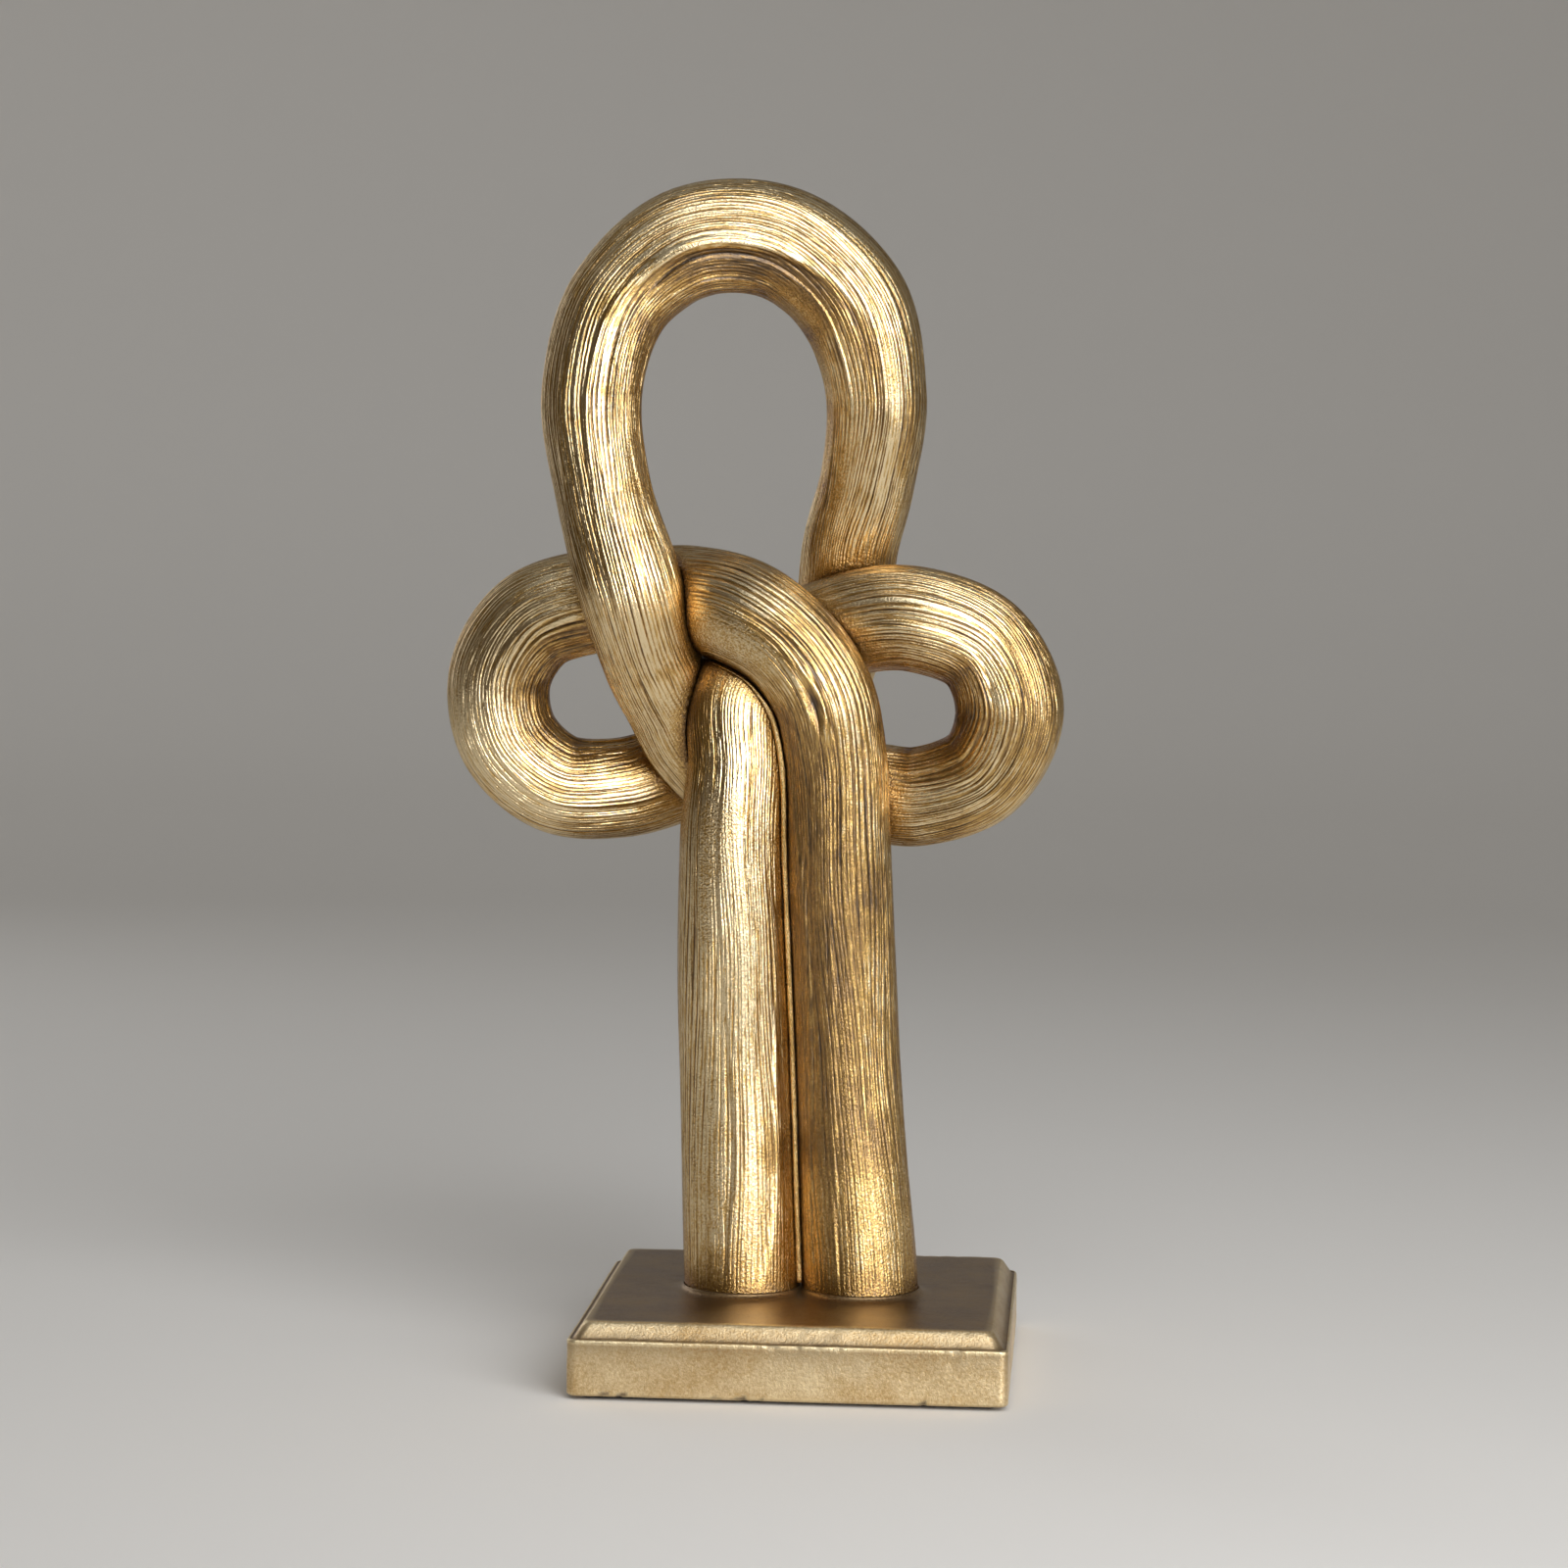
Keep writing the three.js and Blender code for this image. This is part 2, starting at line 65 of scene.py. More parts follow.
def add_node(tree, kind, inputs, **settings):
    """Adds a node of a kind, sets its properties, and gives each named input a value or a link."""
    node = tree.nodes.new(kind)
    for name, value in settings.items():
        setattr(node, name, value)
    for name, value in inputs.items():
        if isinstance(value, bpy.types.NodeSocket):
            tree.links.new(value, node.inputs[name])
        else:
            node.inputs[name].default_value = value
    return node


def cloud(seed, places, cell):
    """Smooth random field from 0 to 1 over places in mm: random values at the corners of cubes of
    one cell, blended by smooth steps along the three axes. The values repeat after a set number of
    cells."""
    grid = places / cell
    corner = np.floor(grid).astype(int)
    share = grid - corner
    f, g, h = np.moveaxis(share * share * (3 - 2 * share), -1, 0)
    i, j, k = np.moveaxis(corner % CLOUD_CELLS, -1, 0)
    up_i, up_j, up_k = np.moveaxis((corner + 1) % CLOUD_CELLS, -1, 0)
    values = np.random.default_rng(seed).random((CLOUD_CELLS, CLOUD_CELLS, CLOUD_CELLS))
    near = (values[i, j, k] * (1 - f) + values[up_i, j, k] * f) * (1 - g)
    near += (values[i, up_j, k] * (1 - f) + values[up_i, up_j, k] * f) * g
    far = (values[i, j, up_k] * (1 - f) + values[up_i, j, up_k] * f) * (1 - g)
    far += (values[i, up_j, up_k] * (1 - f) + values[up_i, up_j, up_k] * f) * g
    return near * (1 - h) + far * h


def square_outline(half, corner):
    """A square with round corners, as complex numbers x + iy. A quarter goes from the middle of the
    right side straight up, round the corner and straight to the middle of the top, and is then turned
    three times. A small square has round corners of its own half width."""
    corner = min(corner, half)
    run = np.linspace(0, 1, SIDE_POINTS, endpoint=False)
    turn = np.linspace(0, np.pi / 2, CORNER_POINTS, endpoint=False)
    straight = half - corner
    quarter = np.concatenate((
        half + 1j * straight * run,
        straight * (1 + 1j) + corner * np.exp(1j * turn),
        straight * (1 - run) + 1j * half,
    ))
    return np.concatenate([quarter * 1j ** k for k in range(4)])


def stack_rings(outlines, heights):
    """Rings of complex outlines at their heights as a grid of x, y, z."""
    outlines = np.array(outlines)
    levels = np.broadcast_to(np.array(heights)[:, None], outlines.shape)
    return np.stack((outlines.real, outlines.imag, levels), axis=-1)


def ring_mesh(name, points, attributes):
    """A closed skin over a grid of points in mm, a row of closed rings, with a fan to the middle of
    the first ring and of the last. Each attribute is a number or a triple for each point."""
    rings, sides = points.shape[:2]
    index = np.arange(rings * sides).reshape(rings, sides)
    turned = np.roll(index, -1, axis=1)
    quads = np.stack((index[:-1], turned[:-1], turned[1:], index[1:]), axis=-1)
    start = np.stack((turned[0], index[0], np.full(sides, rings * sides)), axis=-1)
    finish = np.stack((index[-1], turned[-1], np.full(sides, rings * sides + 1)), axis=-1)
    corners = np.concatenate((quads.ravel(), start.ravel(), finish.ravel())).astype(np.int32)
    counts = np.repeat([4, 3], [(rings - 1) * sides, 2 * sides])
    starts = np.concatenate(([0], np.cumsum(counts)[:-1])).astype(np.int32)

    def with_ends(grid):
        """The grid's values in one row, then the mean of the first ring and of the last."""
        flat = grid.reshape((-1,) + grid.shape[2:])
        return np.concatenate((flat, grid[:1].mean(axis=1), grid[-1:].mean(axis=1))).astype(np.float32)

    mesh = bpy.data.meshes.new(name)
    mesh.vertices.add(rings * sides + 2)
    mesh.vertices.foreach_set("co", with_ends(points * MM).ravel())
    mesh.loops.add(len(corners))
    mesh.loops.foreach_set("vertex_index", corners)
    mesh.polygons.add(len(counts))
    mesh.polygons.foreach_set("loop_start", starts)
    mesh.polygons.foreach_set("use_smooth", counts == 4)
    mesh.update(calc_edges=True)
    for key, grid in attributes.items():
        values = with_ends(grid)
        kind, field = ("FLOAT", "value") if values.ndim == 1 else ("FLOAT_VECTOR", "vector")
        mesh.attributes.new(key, kind, "POINT").data.foreach_set(field, values.ravel())
    return mesh


def stand_for(node, mesh, material):
    """Puts a finished mesh into the scene as a piece on the one body, in place of a CAD node."""
    mesh.materials.append(material)
    piece = bpy.data.objects.new(mesh.name, mesh)
    bpy.context.scene.collection.objects.link(piece)
    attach(piece, "root")
    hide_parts(node)
    return piece


# The rings go out under the pad, round its soft edge and back in on top.
pad_low, pad_high = (np.array(corner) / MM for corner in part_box("base_felt"))
pad_half = pad_high[0]
pad_insets = PAD_INSETS + PAD_INSETS[::-1]
pad_outlines = [square_outline(pad_half - inset, PAD_CORNER) for inset in pad_insets]
pad_heights = np.repeat([pad_low[2], pad_high[2]], len(PAD_INSETS))
pad_heights += [0, 0, 0, 0, PAD_EDGE, -PAD_EDGE, 0, 0, 0, 0]
pad_points = stack_rings(pad_outlines, pad_heights)
pad_sway = PAD_SWAY / pad_half * cloud(1, pad_points, PAD_SWAY_LENGTH)
pad_points[:, :, :2] *= (1 - pad_sway)[:, :, None]

# Wool felt, needled: no gloss, a soft sheen at grazing light and a cloudy nap of fibres
# that lie every way. The fibres are drawn 0.4 mm wide, coarser than real, so that they show.
felt = bpy.data.materials.new("needled_wool_felt")
felt.use_nodes = True
tree = felt.node_tree
shader = tree.nodes["Principled BSDF"]
FELT_FIBRE = 0.4 * MM
FELT_CLOUD = 9 * MM
place = add_node(tree, "ShaderNodeTexCoord", {}).outputs["Object"]
fibres = add_node(
    tree, "ShaderNodeTexNoise",
    {"Vector": place, "Scale": 1 / FELT_FIBRE, "Detail": 4, "Distortion": 1.5},
)
clouds = add_node(tree, "ShaderNodeTexNoise", {"Vector": place, "Scale": 1 / FELT_CLOUD, "Detail": 3})
nap = add_node(
    tree, "ShaderNodeMath",
    {0: fibres.outputs["Fac"], 1: clouds.outputs["Fac"]}, operation="MULTIPLY",
)
felt_colour = add_node(tree, "ShaderNodeValToRGB", {"Fac": nap.outputs[0]})
felt_colour.color_ramp.elements[0].position = 0.12
felt_colour.color_ramp.elements[0].color = linear("#1c1815")
felt_colour.color_ramp.elements[1].position = 0.42
felt_colour.color_ramp.elements[1].color = linear("#463d36")
felt_bump = add_node(
    tree, "ShaderNodeBump",
    {"Height": fibres.outputs["Fac"], "Strength": 0.6, "Distance": 0.3 * MM},
)
tree.links.new(felt_colour.outputs["Color"], shader.inputs["Base Color"])
tree.links.new(felt_bump.outputs["Normal"], shader.inputs["Normal"])
shader.inputs["Roughness"].default_value = 0.95
shader.inputs["Sheen Weight"].default_value = 0.3
pad = stand_for("base_felt", ring_mesh("felt_pad", pad_points, {}), felt)


# Plinth
# A square block cast in resin, with an eased foot, a ledge and an ogee moulding round the top.
# The feet stand in a pocket with a soft fillet, and the underside is bored for the studs and nuts.
# It is painted a satin gold and chipped along the foot, with painted shade on top, in the moulding and
# down the foot, and painted highlight on its rounded edges.
PLINTH_CORNER = 3
FOOT_ROUND = 1.2
ARRIS_ROUND = 0.8
LEDGE = 1.35
GROOVE_DEPTH = 0.25
MOULDING_INSET = 5.8
MOULDING_HEIGHT = 5.2
OGEE_HOLLOW = 1.1
OGEE_SWELL = 1.5
FILLET = 2
FILLET_REACH = 4.5
FILLET_INWARDS = 1.6
FILLET_UPWARDS = 2.4
SEAT_GAP = 0.3
FOOT_RADIUS = 19.2
FOOT_APART = 19.5
FOOT_Y = -4
SOCKET_DEPTH = 4
SEAM_LEAN = np.tan(np.radians(2.6))
STUD_BORE_RADIUS = 4.3
COUNTERBORE_RADIUS = 12
COUNTERBORE_ROOF = 10.9
BORE_SIDES = 48
WANDER = 0.4
WANDER_LENGTH = 19
GRAIN = 0.14
GRAIN_LENGTH = 3.5
CHIP = 0.7
CHIP_LENGTH = 1.9
CHIP_GROUPS = 11
CHIP_ONSET = 1.14
CHIP_EDGE = 0.3
CHIP_BARE = 1.4

plinth_low, plinth_high = (np.array(corner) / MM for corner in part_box("plinth"))
PLINTH_HALF = plinth_high[0]
PLINTH_BOTTOM = plinth_low[2]
PLINTH_TOP = plinth_high[2] - FILLET
MOULDING_FOOT = PLINTH_TOP - MOULDING_HEIGHT


def feet_outline(outline, height, reach):
    """The outline round both feet, a point for each point of a square outline: on the ray towards it
    from the middle between the feet, where the ray leaves the further of two circles about the feet.
    The middle moves sideways with the height, because the feet lean."""
    middle = -SEAM_LEAN * (height - PLINTH_TOP) + 1j * FOOT_Y
    ray = (outline - middle) / np.abs(outline - middle)
    leaves = FOOT_APART * np.abs(ray.real)
    leaves = leaves + np.sqrt(np.maximum(reach ** 2 - (FOOT_APART * ray.imag) ** 2, 0))
    return middle + ray * np.maximum(leaves, SEAT_GAP)


# The edge, as inset and height: underside, eased foot, upright face, arris, groove and ogee.
quarter = np.linspace(0, np.pi / 2, 6)
under_insets = np.linspace(66, 2, 7)
face_levels = np.linspace(PLINTH_BOTTOM + FOOT_ROUND, MOULDING_FOOT - ARRIS_ROUND, 18)[1:-1]
# The ogee is a cubic with a handle at each end, level with the groove and with the top.
ogee_run = np.linspace(0, 1, 18)
ogee_handles = np.array([
    [LEDGE, MOULDING_FOOT - GROOVE_DEPTH],
    [LEDGE + OGEE_HOLLOW, MOULDING_FOOT - GROOVE_DEPTH],
    [MOULDING_INSET - OGEE_SWELL, PLINTH_TOP],
    [MOULDING_INSET, PLINTH_TOP],
])
ogee_weights = np.column_stack((
    (1 - ogee_run) ** 3,
    3 * ogee_run * (1 - ogee_run) ** 2,
    3 * ogee_run ** 2 * (1 - ogee_run),
    ogee_run ** 3,
))
edge = [
    np.column_stack((under_insets, np.full(len(under_insets), PLINTH_BOTTOM))),
    np.column_stack((1 - np.sin(quarter), 1 - np.cos(quarter))) * FOOT_ROUND + [0, PLINTH_BOTTOM],
    np.column_stack((np.zeros(len(face_levels)), face_levels)),
    np.column_stack((1 - np.cos(quarter), np.sin(quarter) - 1)) * ARRIS_ROUND + [0, MOULDING_FOOT],
    np.array([[0.96, MOULDING_FOOT - 0.04], [1.18, MOULDING_FOOT - 0.18]]),
    ogee_weights @ ogee_handles,
]
rows = [len(part) for part in edge]
insets, levels = np.vstack(edge).T
outlines = [square_outline(PLINTH_HALF - inset, PLINTH_CORNER) for inset in insets]

# The top face runs in from the moulding to the feet, up their fillet and down into the pocket.
rim = outlines[-1]
inwards = np.linspace(0, 1, 18)[1:]
swell = np.linspace(0, 1, 9)[1:]
fillet_reach = FOOT_RADIUS + SEAT_GAP + FILLET_REACH * (1 - swell) ** FILLET_INWARDS
fillet_level = PLINTH_TOP + FILLET * swell ** FILLET_UPWARDS
pocket_level = np.linspace(PLINTH_TOP + FILLET, PLINTH_TOP - SOCKET_DEPTH, 6)[1:]
feet = feet_outline(rim, PLINTH_TOP, FOOT_RADIUS + SEAT_GAP + FILLET_REACH)
top = [rim + (feet - rim) * share for share in inwards]
fillet = [feet_outline(rim, level, reach) for level, reach in zip(fillet_level, fillet_reach)]
pocket = [feet_outline(rim, level, FOOT_RADIUS + SEAT_GAP) for level in pocket_level]
floor_middle = pocket[-1].mean()
floor = [floor_middle + (pocket[-1] - floor_middle) * share for share in (0.6, 0.2)]
outlines += top + fillet + pocket + floor
floor_level = np.full(len(floor), pocket_level[-1])
levels = np.concatenate((levels, np.full(len(top), PLINTH_TOP), fillet_level, pocket_level, floor_level))
rows += [len(top), len(fillet), len(pocket), len(floor)]
plinth_points = stack_rings(outlines, levels)

# How far each stretch of the skin wanders, chips, takes painted shade and takes painted highlight, in the
# order underside, foot, face, arris, groove, ogee, top, fillet, pocket and the pocket's floor.
wander = np.repeat([0, 0.6, 1, 0.9, 0.8, 1, 0.7, 0.2, 0, 0], rows)
chipped = np.repeat([0, 0.6, 0.05, 0.35, 0.1, 0.12, 0, 0, 0, 0], rows)
# Painted shade: darker under the plinth, in the groove, on the top face, its fillet and the pocket.
painted_shade = np.repeat([0.6, 0.35, 0, 0, 1, 0, 1, 0.95, 1, 1], rows)
# Painted highlight on the eased foot and the arris.
painted_highlight = np.repeat([0, 0.3, 0, 0.4, 0, 0, 0, 0, 0, 0], rows)
ogee_rows = slice(sum(rows[:5]), sum(rows[:6]))
# Painted shade deep in the ogee's hollow, fading up it and rising again at its top edge.
painted_shade[ogee_rows] = np.interp(ogee_run, [0, 0.3, 0.6, 0.92, 1], [1, 0.5, 0.22, 0.1, 0.5])
# Painted highlight along the upper swell of the ogee.
painted_highlight[ogee_rows] = np.interp(ogee_run, [0, 0.6, 0.86, 1], [0, 0, 0.35, 0.2])
foot_rows = slice(rows[0], rows[0] + rows[1])
# Painted shade down the eased foot, darkest at the bottom.
painted_shade[foot_rows] = np.linspace(1, 0, rows[1])
face_rows = slice(sum(rows[:2]), sum(rows[:3]))
# Painted shade growing towards the top of the upright face.
painted_shade[face_rows] = 0.45 * np.linspace(0, 1, rows[2]) ** 3
uneven = WANDER * (cloud(41, plinth_points, WANDER_LENGTH) - 0.5)
uneven += GRAIN * (cloud(42, plinth_points, GRAIN_LENGTH) - 0.5)
chips = cloud(43, plinth_points, CHIP_LENGTH) + 0.8 * cloud(44, plinth_points, CHIP_GROUPS)
chips = np.clip((chips - CHIP_ONSET) / CHIP_EDGE, 0, 1)
sink = wander[:, None] * uneven - CHIP * chipped[:, None] * chips
# The skin moves along its own normal, which is square to its rows and its rings.
along_rows = np.gradient(plinth_points, axis=0)
along_ring = np.roll(plinth_points, -1, axis=1) - np.roll(plinth_points, 1, axis=1)
outwards = np.cross(along_ring, along_rows)
outwards /= np.maximum(np.linalg.norm(outwards, axis=-1, keepdims=True), 1e-9)
plinth_points = plinth_points + sink[:, :, None] * outwards
bare = np.clip(CHIP_BARE * chipped[:, None] * chips, 0, 1)


def drill(mesh, places, radii, heights):
    """The mesh with an upright stepped hole at each place: a turned rod with these radii at these
    heights is taken away from it."""
    block = bpy.data.objects.new("block", mesh)
    circle = np.exp(2j * np.pi * np.arange(BORE_SIDES) / BORE_SIDES)
    tools = [block]
    for place in places:
        rod_points = stack_rings([place + radius * circle for radius in radii], heights)
        rod = bpy.data.objects.new("rod", ring_mesh("rod", rod_points, {}))
        cut = block.modifiers.new("bore", "BOOLEAN")
        cut.operation = "DIFFERENCE"
        cut.object = rod
        tools.append(rod)
    for tool in tools:
        bpy.context.scene.collection.objects.link(tool)
    finished = block.evaluated_get(bpy.context.evaluated_depsgraph_get())
    drilled = bpy.data.meshes.new_from_object(finished)
    for tool in tools:
        bpy.data.objects.remove(tool)
    return drilled


plinth_mesh = ring_mesh("plinth_block", plinth_points, {
    "painted_shade": np.broadcast_to(painted_shade[:, None], bare.shape),
    "painted_highlight": np.broadcast_to(painted_highlight[:, None], bare.shape),
    "bare": bare,
})
foot_tilt = -SEAM_LEAN * (SEAT_GAP - SOCKET_DEPTH)
stud_places = [foot_tilt + FOOT_APART + 1j * FOOT_Y, foot_tilt - FOOT_APART + 1j * FOOT_Y]
plinth_mesh = drill(
    plinth_mesh, stud_places,
    [COUNTERBORE_RADIUS, COUNTERBORE_RADIUS, STUD_BORE_RADIUS, STUD_BORE_RADIUS],
    [PLINTH_BOTTOM - 1, COUNTERBORE_ROOF, COUNTERBORE_ROOF, PLINTH_TOP],
)
plinth_mesh.name = "plinth_cast"

# Gold paint on cast resin: satin and mottled where the brush stippled it, with painted highlight on the
# rounded edges, painted shade in the groove, the ogee, on top and down the foot, and bare brown resin in
# the chips.
plinth_gilt = bpy.data.materials.new("satin_gold_paint_on_cast_resin_with_painted_light")
plinth_gilt.use_nodes = True
tree = plinth_gilt.node_tree
shader = tree.nodes["Principled BSDF"]
MOTTLE = 0.8 * MM
PLINTH_CLOUD = 20 * MM
PLINTH_GRIT = 0.55 * MM
place = add_node(tree, "ShaderNodeTexCoord", {}).outputs["Object"]
mottle = add_node(
    tree, "ShaderNodeTexNoise", {"Vector": place, "Scale": 1 / MOTTLE, "Detail": 6, "Roughness": 0.65},
).outputs["Fac"]
clouds = add_node(
    tree, "ShaderNodeTexNoise", {"Vector": place, "Scale": 1 / PLINTH_CLOUD, "Detail": 3},
).outputs["Fac"]
grit = add_node(
    tree, "ShaderNodeTexNoise", {"Vector": place, "Scale": 1 / PLINTH_GRIT, "Detail": 3},
).outputs["Fac"]
blend = add_node(
    tree, "ShaderNodeMix", {"Factor": 0.4, "A": mottle, "B": clouds}, data_type="FLOAT",
).outputs["Result"]
paint = add_node(tree, "ShaderNodeValToRGB", {"Fac": blend})
paint.color_ramp.elements[0].position = 0.37
paint.color_ramp.elements[0].color = linear("#c3a06a")
paint.color_ramp.elements[1].position = 0.62
paint.color_ramp.elements[1].color = linear("#f3dcb0")
masks = {}
# Masks for the painted shade, the painted highlight and the bare chips, their edges broken by the mottle.
for key, strength in (("painted_shade", 1.25), ("painted_highlight", 1.4), ("bare", 1.5)):
    painted_light_and_chips = add_node(tree, "ShaderNodeAttribute", {}, attribute_name=key).outputs["Fac"]
    uneven_edge = add_node(
        tree, "ShaderNodeMapRange",
        {"Value": blend, "From Min": 0.3, "From Max": 0.7, "To Min": 0.35 * strength, "To Max": strength},
    ).outputs["Result"]
    masks[key] = add_node(
        tree, "ShaderNodeMath", {0: painted_light_and_chips, 1: uneven_edge}, operation="MULTIPLY", use_clamp=True,
    ).outputs[0]
layers = paint.outputs["Color"]
# Painted shade is dark brown and painted highlight pale cream; the chips show bare brown resin.
for key, colour in (("painted_shade", "#694c2d"), ("painted_highlight", "#f0dfb4"), ("bare", "#4d3a26")):
    layers = add_node(
        tree, "ShaderNodeMix", {"Factor": masks[key], "A": layers, "B": linear(colour)}, data_type="RGBA",
    ).outputs["Result"]
dull = add_node(
    tree, "ShaderNodeMapRange",
    {"Value": blend, "From Min": 0.3, "From Max": 0.7, "To Min": 0.4, "To Max": 0.28},
).outputs["Result"]
metal = add_node(
    tree, "ShaderNodeMapRange",
    {"Value": masks["bare"], "From Min": 0, "From Max": 1, "To Min": 0.92, "To Max": 0.1},
).outputs["Result"]
plinth_bump = add_node(
    tree, "ShaderNodeBump", {"Height": mottle, "Strength": 0.5, "Distance": 0.35 * MM},
).outputs["Normal"]
plinth_fine = add_node(
    tree, "ShaderNodeBump",
    {"Height": grit, "Strength": 0.3, "Distance": 0.12 * MM, "Normal": plinth_bump},
).outputs["Normal"]
tree.links.new(layers, shader.inputs["Base Color"])
tree.links.new(dull, shader.inputs["Roughness"])
tree.links.new(metal, shader.inputs["Metallic"])
tree.links.new(plinth_fine, shader.inputs["Normal"])
stand_for("plinth", plinth_mesh, plinth_gilt)


# Studs, washers, nuts and dowels
# Steel rod and turned fastenings, zinc plated, hidden inside the casting.
# The studs are glued into the feet and drawn down by the nuts in the underside.
SPANGLE = 1.5 * MM

# Zinc plate: dull grey metal in crystals of lighter and darker grey.
zinc = bpy.data.materials.new("zinc_plated_steel")
zinc.use_nodes = True
tree = zinc.node_tree
shader = tree.nodes["Principled BSDF"]
place = add_node(tree, "ShaderNodeTexCoord", {}).outputs["Object"]
spangle = add_node(tree, "ShaderNodeTexVoronoi", {"Vector": place, "Scale": 1 / SPANGLE})
zinc_colour = add_node(tree, "ShaderNodeValToRGB", {"Fac": spangle.outputs["Distance"]})
zinc_colour.color_ramp.elements[0].color = linear("#b9bdc0")
zinc_colour.color_ramp.elements[1].color = linear("#94999d")
tree.links.new(zinc_colour.outputs["Color"], shader.inputs["Base Color"])
shader.inputs["Metallic"].default_value = 1
shader.inputs["Roughness"].default_value = 0.4
for name, steel_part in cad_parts.items():
    if name.endswith(("stud", "washer", "nut", "dowel")):
        steel_part.data.materials.clear()
        steel_part.data.materials.append(zinc)


# Knotted strand
# One thick strand, cast in resin in five lengths that meet on dowels under the crossings.
# Its clay original was combed along its length, and the cast is gilded, glazed brown and rubbed,
# with shade painted into its folds and bends and highlight painted onto a few spots.
SEAM_TOP_X = -6.77
SEAM_TOP_Z = 173.6
FRONT_LAYER_Y = -16
LAYER_STEP = 25
STRAND, FLANK, NECK, CROWN, WIDE = 34, 32.8, 31.2, 37, 36


def passing(x, rise, layer, diameter):
    """One knot of the course, from the top of the seam between the legs: x, y, z and thickness in mm."""
    return [[SEAM_TOP_X + x, FRONT_LAYER_Y + layer * LAYER_STEP, SEAM_TOP_Z + rise, diameter]]


def bend(x, rise, half_width, half_height, start, end, layers, diameters):
    """Knots at even angles on an ellipse about x and rise, with a layer and a thickness for each."""
    angle = np.radians(np.linspace(start, end, len(layers)))
    across = SEAM_TOP_X + x + half_width * np.cos(angle)
    depth = FRONT_LAYER_Y + np.array(layers) * LAYER_STEP
    height = SEAM_TOP_Z + rise + half_height * np.sin(angle)
    return np.column_stack((across, depth, height, np.broadcast_to(diameters, len(layers))))


# The five lengths in the order of the strand, as rows of knots: x, y, z and thickness.
# Each length starts at the last knot of the one before it.
course = {
    "right_leg": np.vstack((
        [[19.67, -4, 20.9, 38.4], [13.64, -4, 109.6, 34.4], [10.53, -8.5, 173.6, 34]],
        bend(-33.2, 29.4, 49, 49, 0, 90, [0.2, 0.08, 0, 0.2, 0.72], [STRAND, STRAND, STRAND, WIDE, WIDE]),
        passing(-51.2, 78.4, 1.05, STRAND),
    )),
    "left_loop": np.vstack((
        bend(-66.2, 45.4, 32, 32, 90, 285, [1.05, 1.05, 1.1, 1.2, 1.4, 1.7], STRAND),
        passing(-39.2, 19.9, 1.95, STRAND),
        passing(-15.2, 31.4, 2.05, STRAND),
        passing(5.8, 48.4, 1.95, FLANK),
        passing(15.1, 73.4, 1.78, NECK),
    )),
    "tall_loop": np.vstack((
        passing(18.1, 96.4, 1.6, NECK),
        passing(23.8, 118.4, 1.35, NECK),
        bend(-19.2, 146.4, 46, 51.5, 0, 180, [1.05, 0.88, 0.74, 0.6, 0.46, 0.32],
             [FLANK, CROWN, CROWN, CROWN, STRAND, FLANK]),
        passing(-60.7, 114.4, 0.1, NECK),
        passing(-50.7, 82.4, -0.05, STRAND),
        passing(-44.2, 58.9, 0.42, FLANK),
        passing(-38.6, 44.4, 0.74, NECK),
        passing(-31.2, 29.9, 1.04, NECK),
        passing(-17.2, 17.9, 1.2, NECK),
        passing(2.8, 15.9, 1.26, FLANK),
    )),
    "right_loop": np.vstack((
        passing(25.8, 14.9, 1.24, FLANK),
        bend(42.8, 43.4, 29.5, 29.5, -90, 90, [1.16, 1.05, 0.92, 0.8, 0.72],
             [FLANK, STRAND, WIDE, STRAND, STRAND]),
        passing(24.8, 72.4, 0.82, STRAND),
        passing(-1.2, 62.4, 1, FLANK),
    )),
    "left_leg": np.vstack((
        passing(-15.2, 48.4, 0.6, WIDE),
        passing(-15.8, 24.4, 0.32, FLANK),
        [[-24.07, -8.5, 173.6, 34], [-22.86, -4, 109.6, 37.4], [-19.33, -4, 20.9, 38.4]],
    )),
}
knots = np.vstack(list(course.values()))


def course_at(spans):
    """Point and slope of the centre line at span counts: a centripetal Catmull-Rom curve through the
    knots. Each span is the cubic between its two knots whose end slopes come from the neighbours,
    weighted by the square roots of the chords. The ends go on straight."""
    places = knots[:, :3]
    places = np.vstack((2 * places[0] - places[1], places, 2 * places[-1] - places[-2]))
    i = np.clip(spans.astype(int), 0, len(knots) - 2)
    f = (spans - i)[:, None]
    p0, p1, p2, p3 = places[i], places[i + 1], places[i + 2], places[i + 3]
    d0 = np.sqrt(np.linalg.norm(p1 - p0, axis=1))[:, None]
    d1 = np.sqrt(np.linalg.norm(p2 - p1, axis=1))[:, None]
    d2 = np.sqrt(np.linalg.norm(p3 - p2, axis=1))[:, None]
    m1 = ((p1 - p0) / d0 - (p2 - p0) / (d0 + d1) + (p2 - p1) / d1) * d1
    m2 = ((p2 - p1) / d1 - (p3 - p1) / (d1 + d2) + (p3 - p2) / d2) * d1
    square = 3 * (p2 - p1) - 2 * m1 - m2
    cube = 2 * (p1 - p2) + m1 + m2
    return p1 + m1 * f + square * f ** 2 + cube * f ** 3, m1 + 2 * square * f + 3 * cube * f ** 2


SPAN_STEPS = 60
all_spans = np.linspace(0, len(knots) - 1, (len(knots) - 1) * SPAN_STEPS + 1)
chords = np.linalg.norm(np.diff(course_at(all_spans)[0], axis=0), axis=1)
run_length = np.concatenate(([0], np.cumsum(chords)))


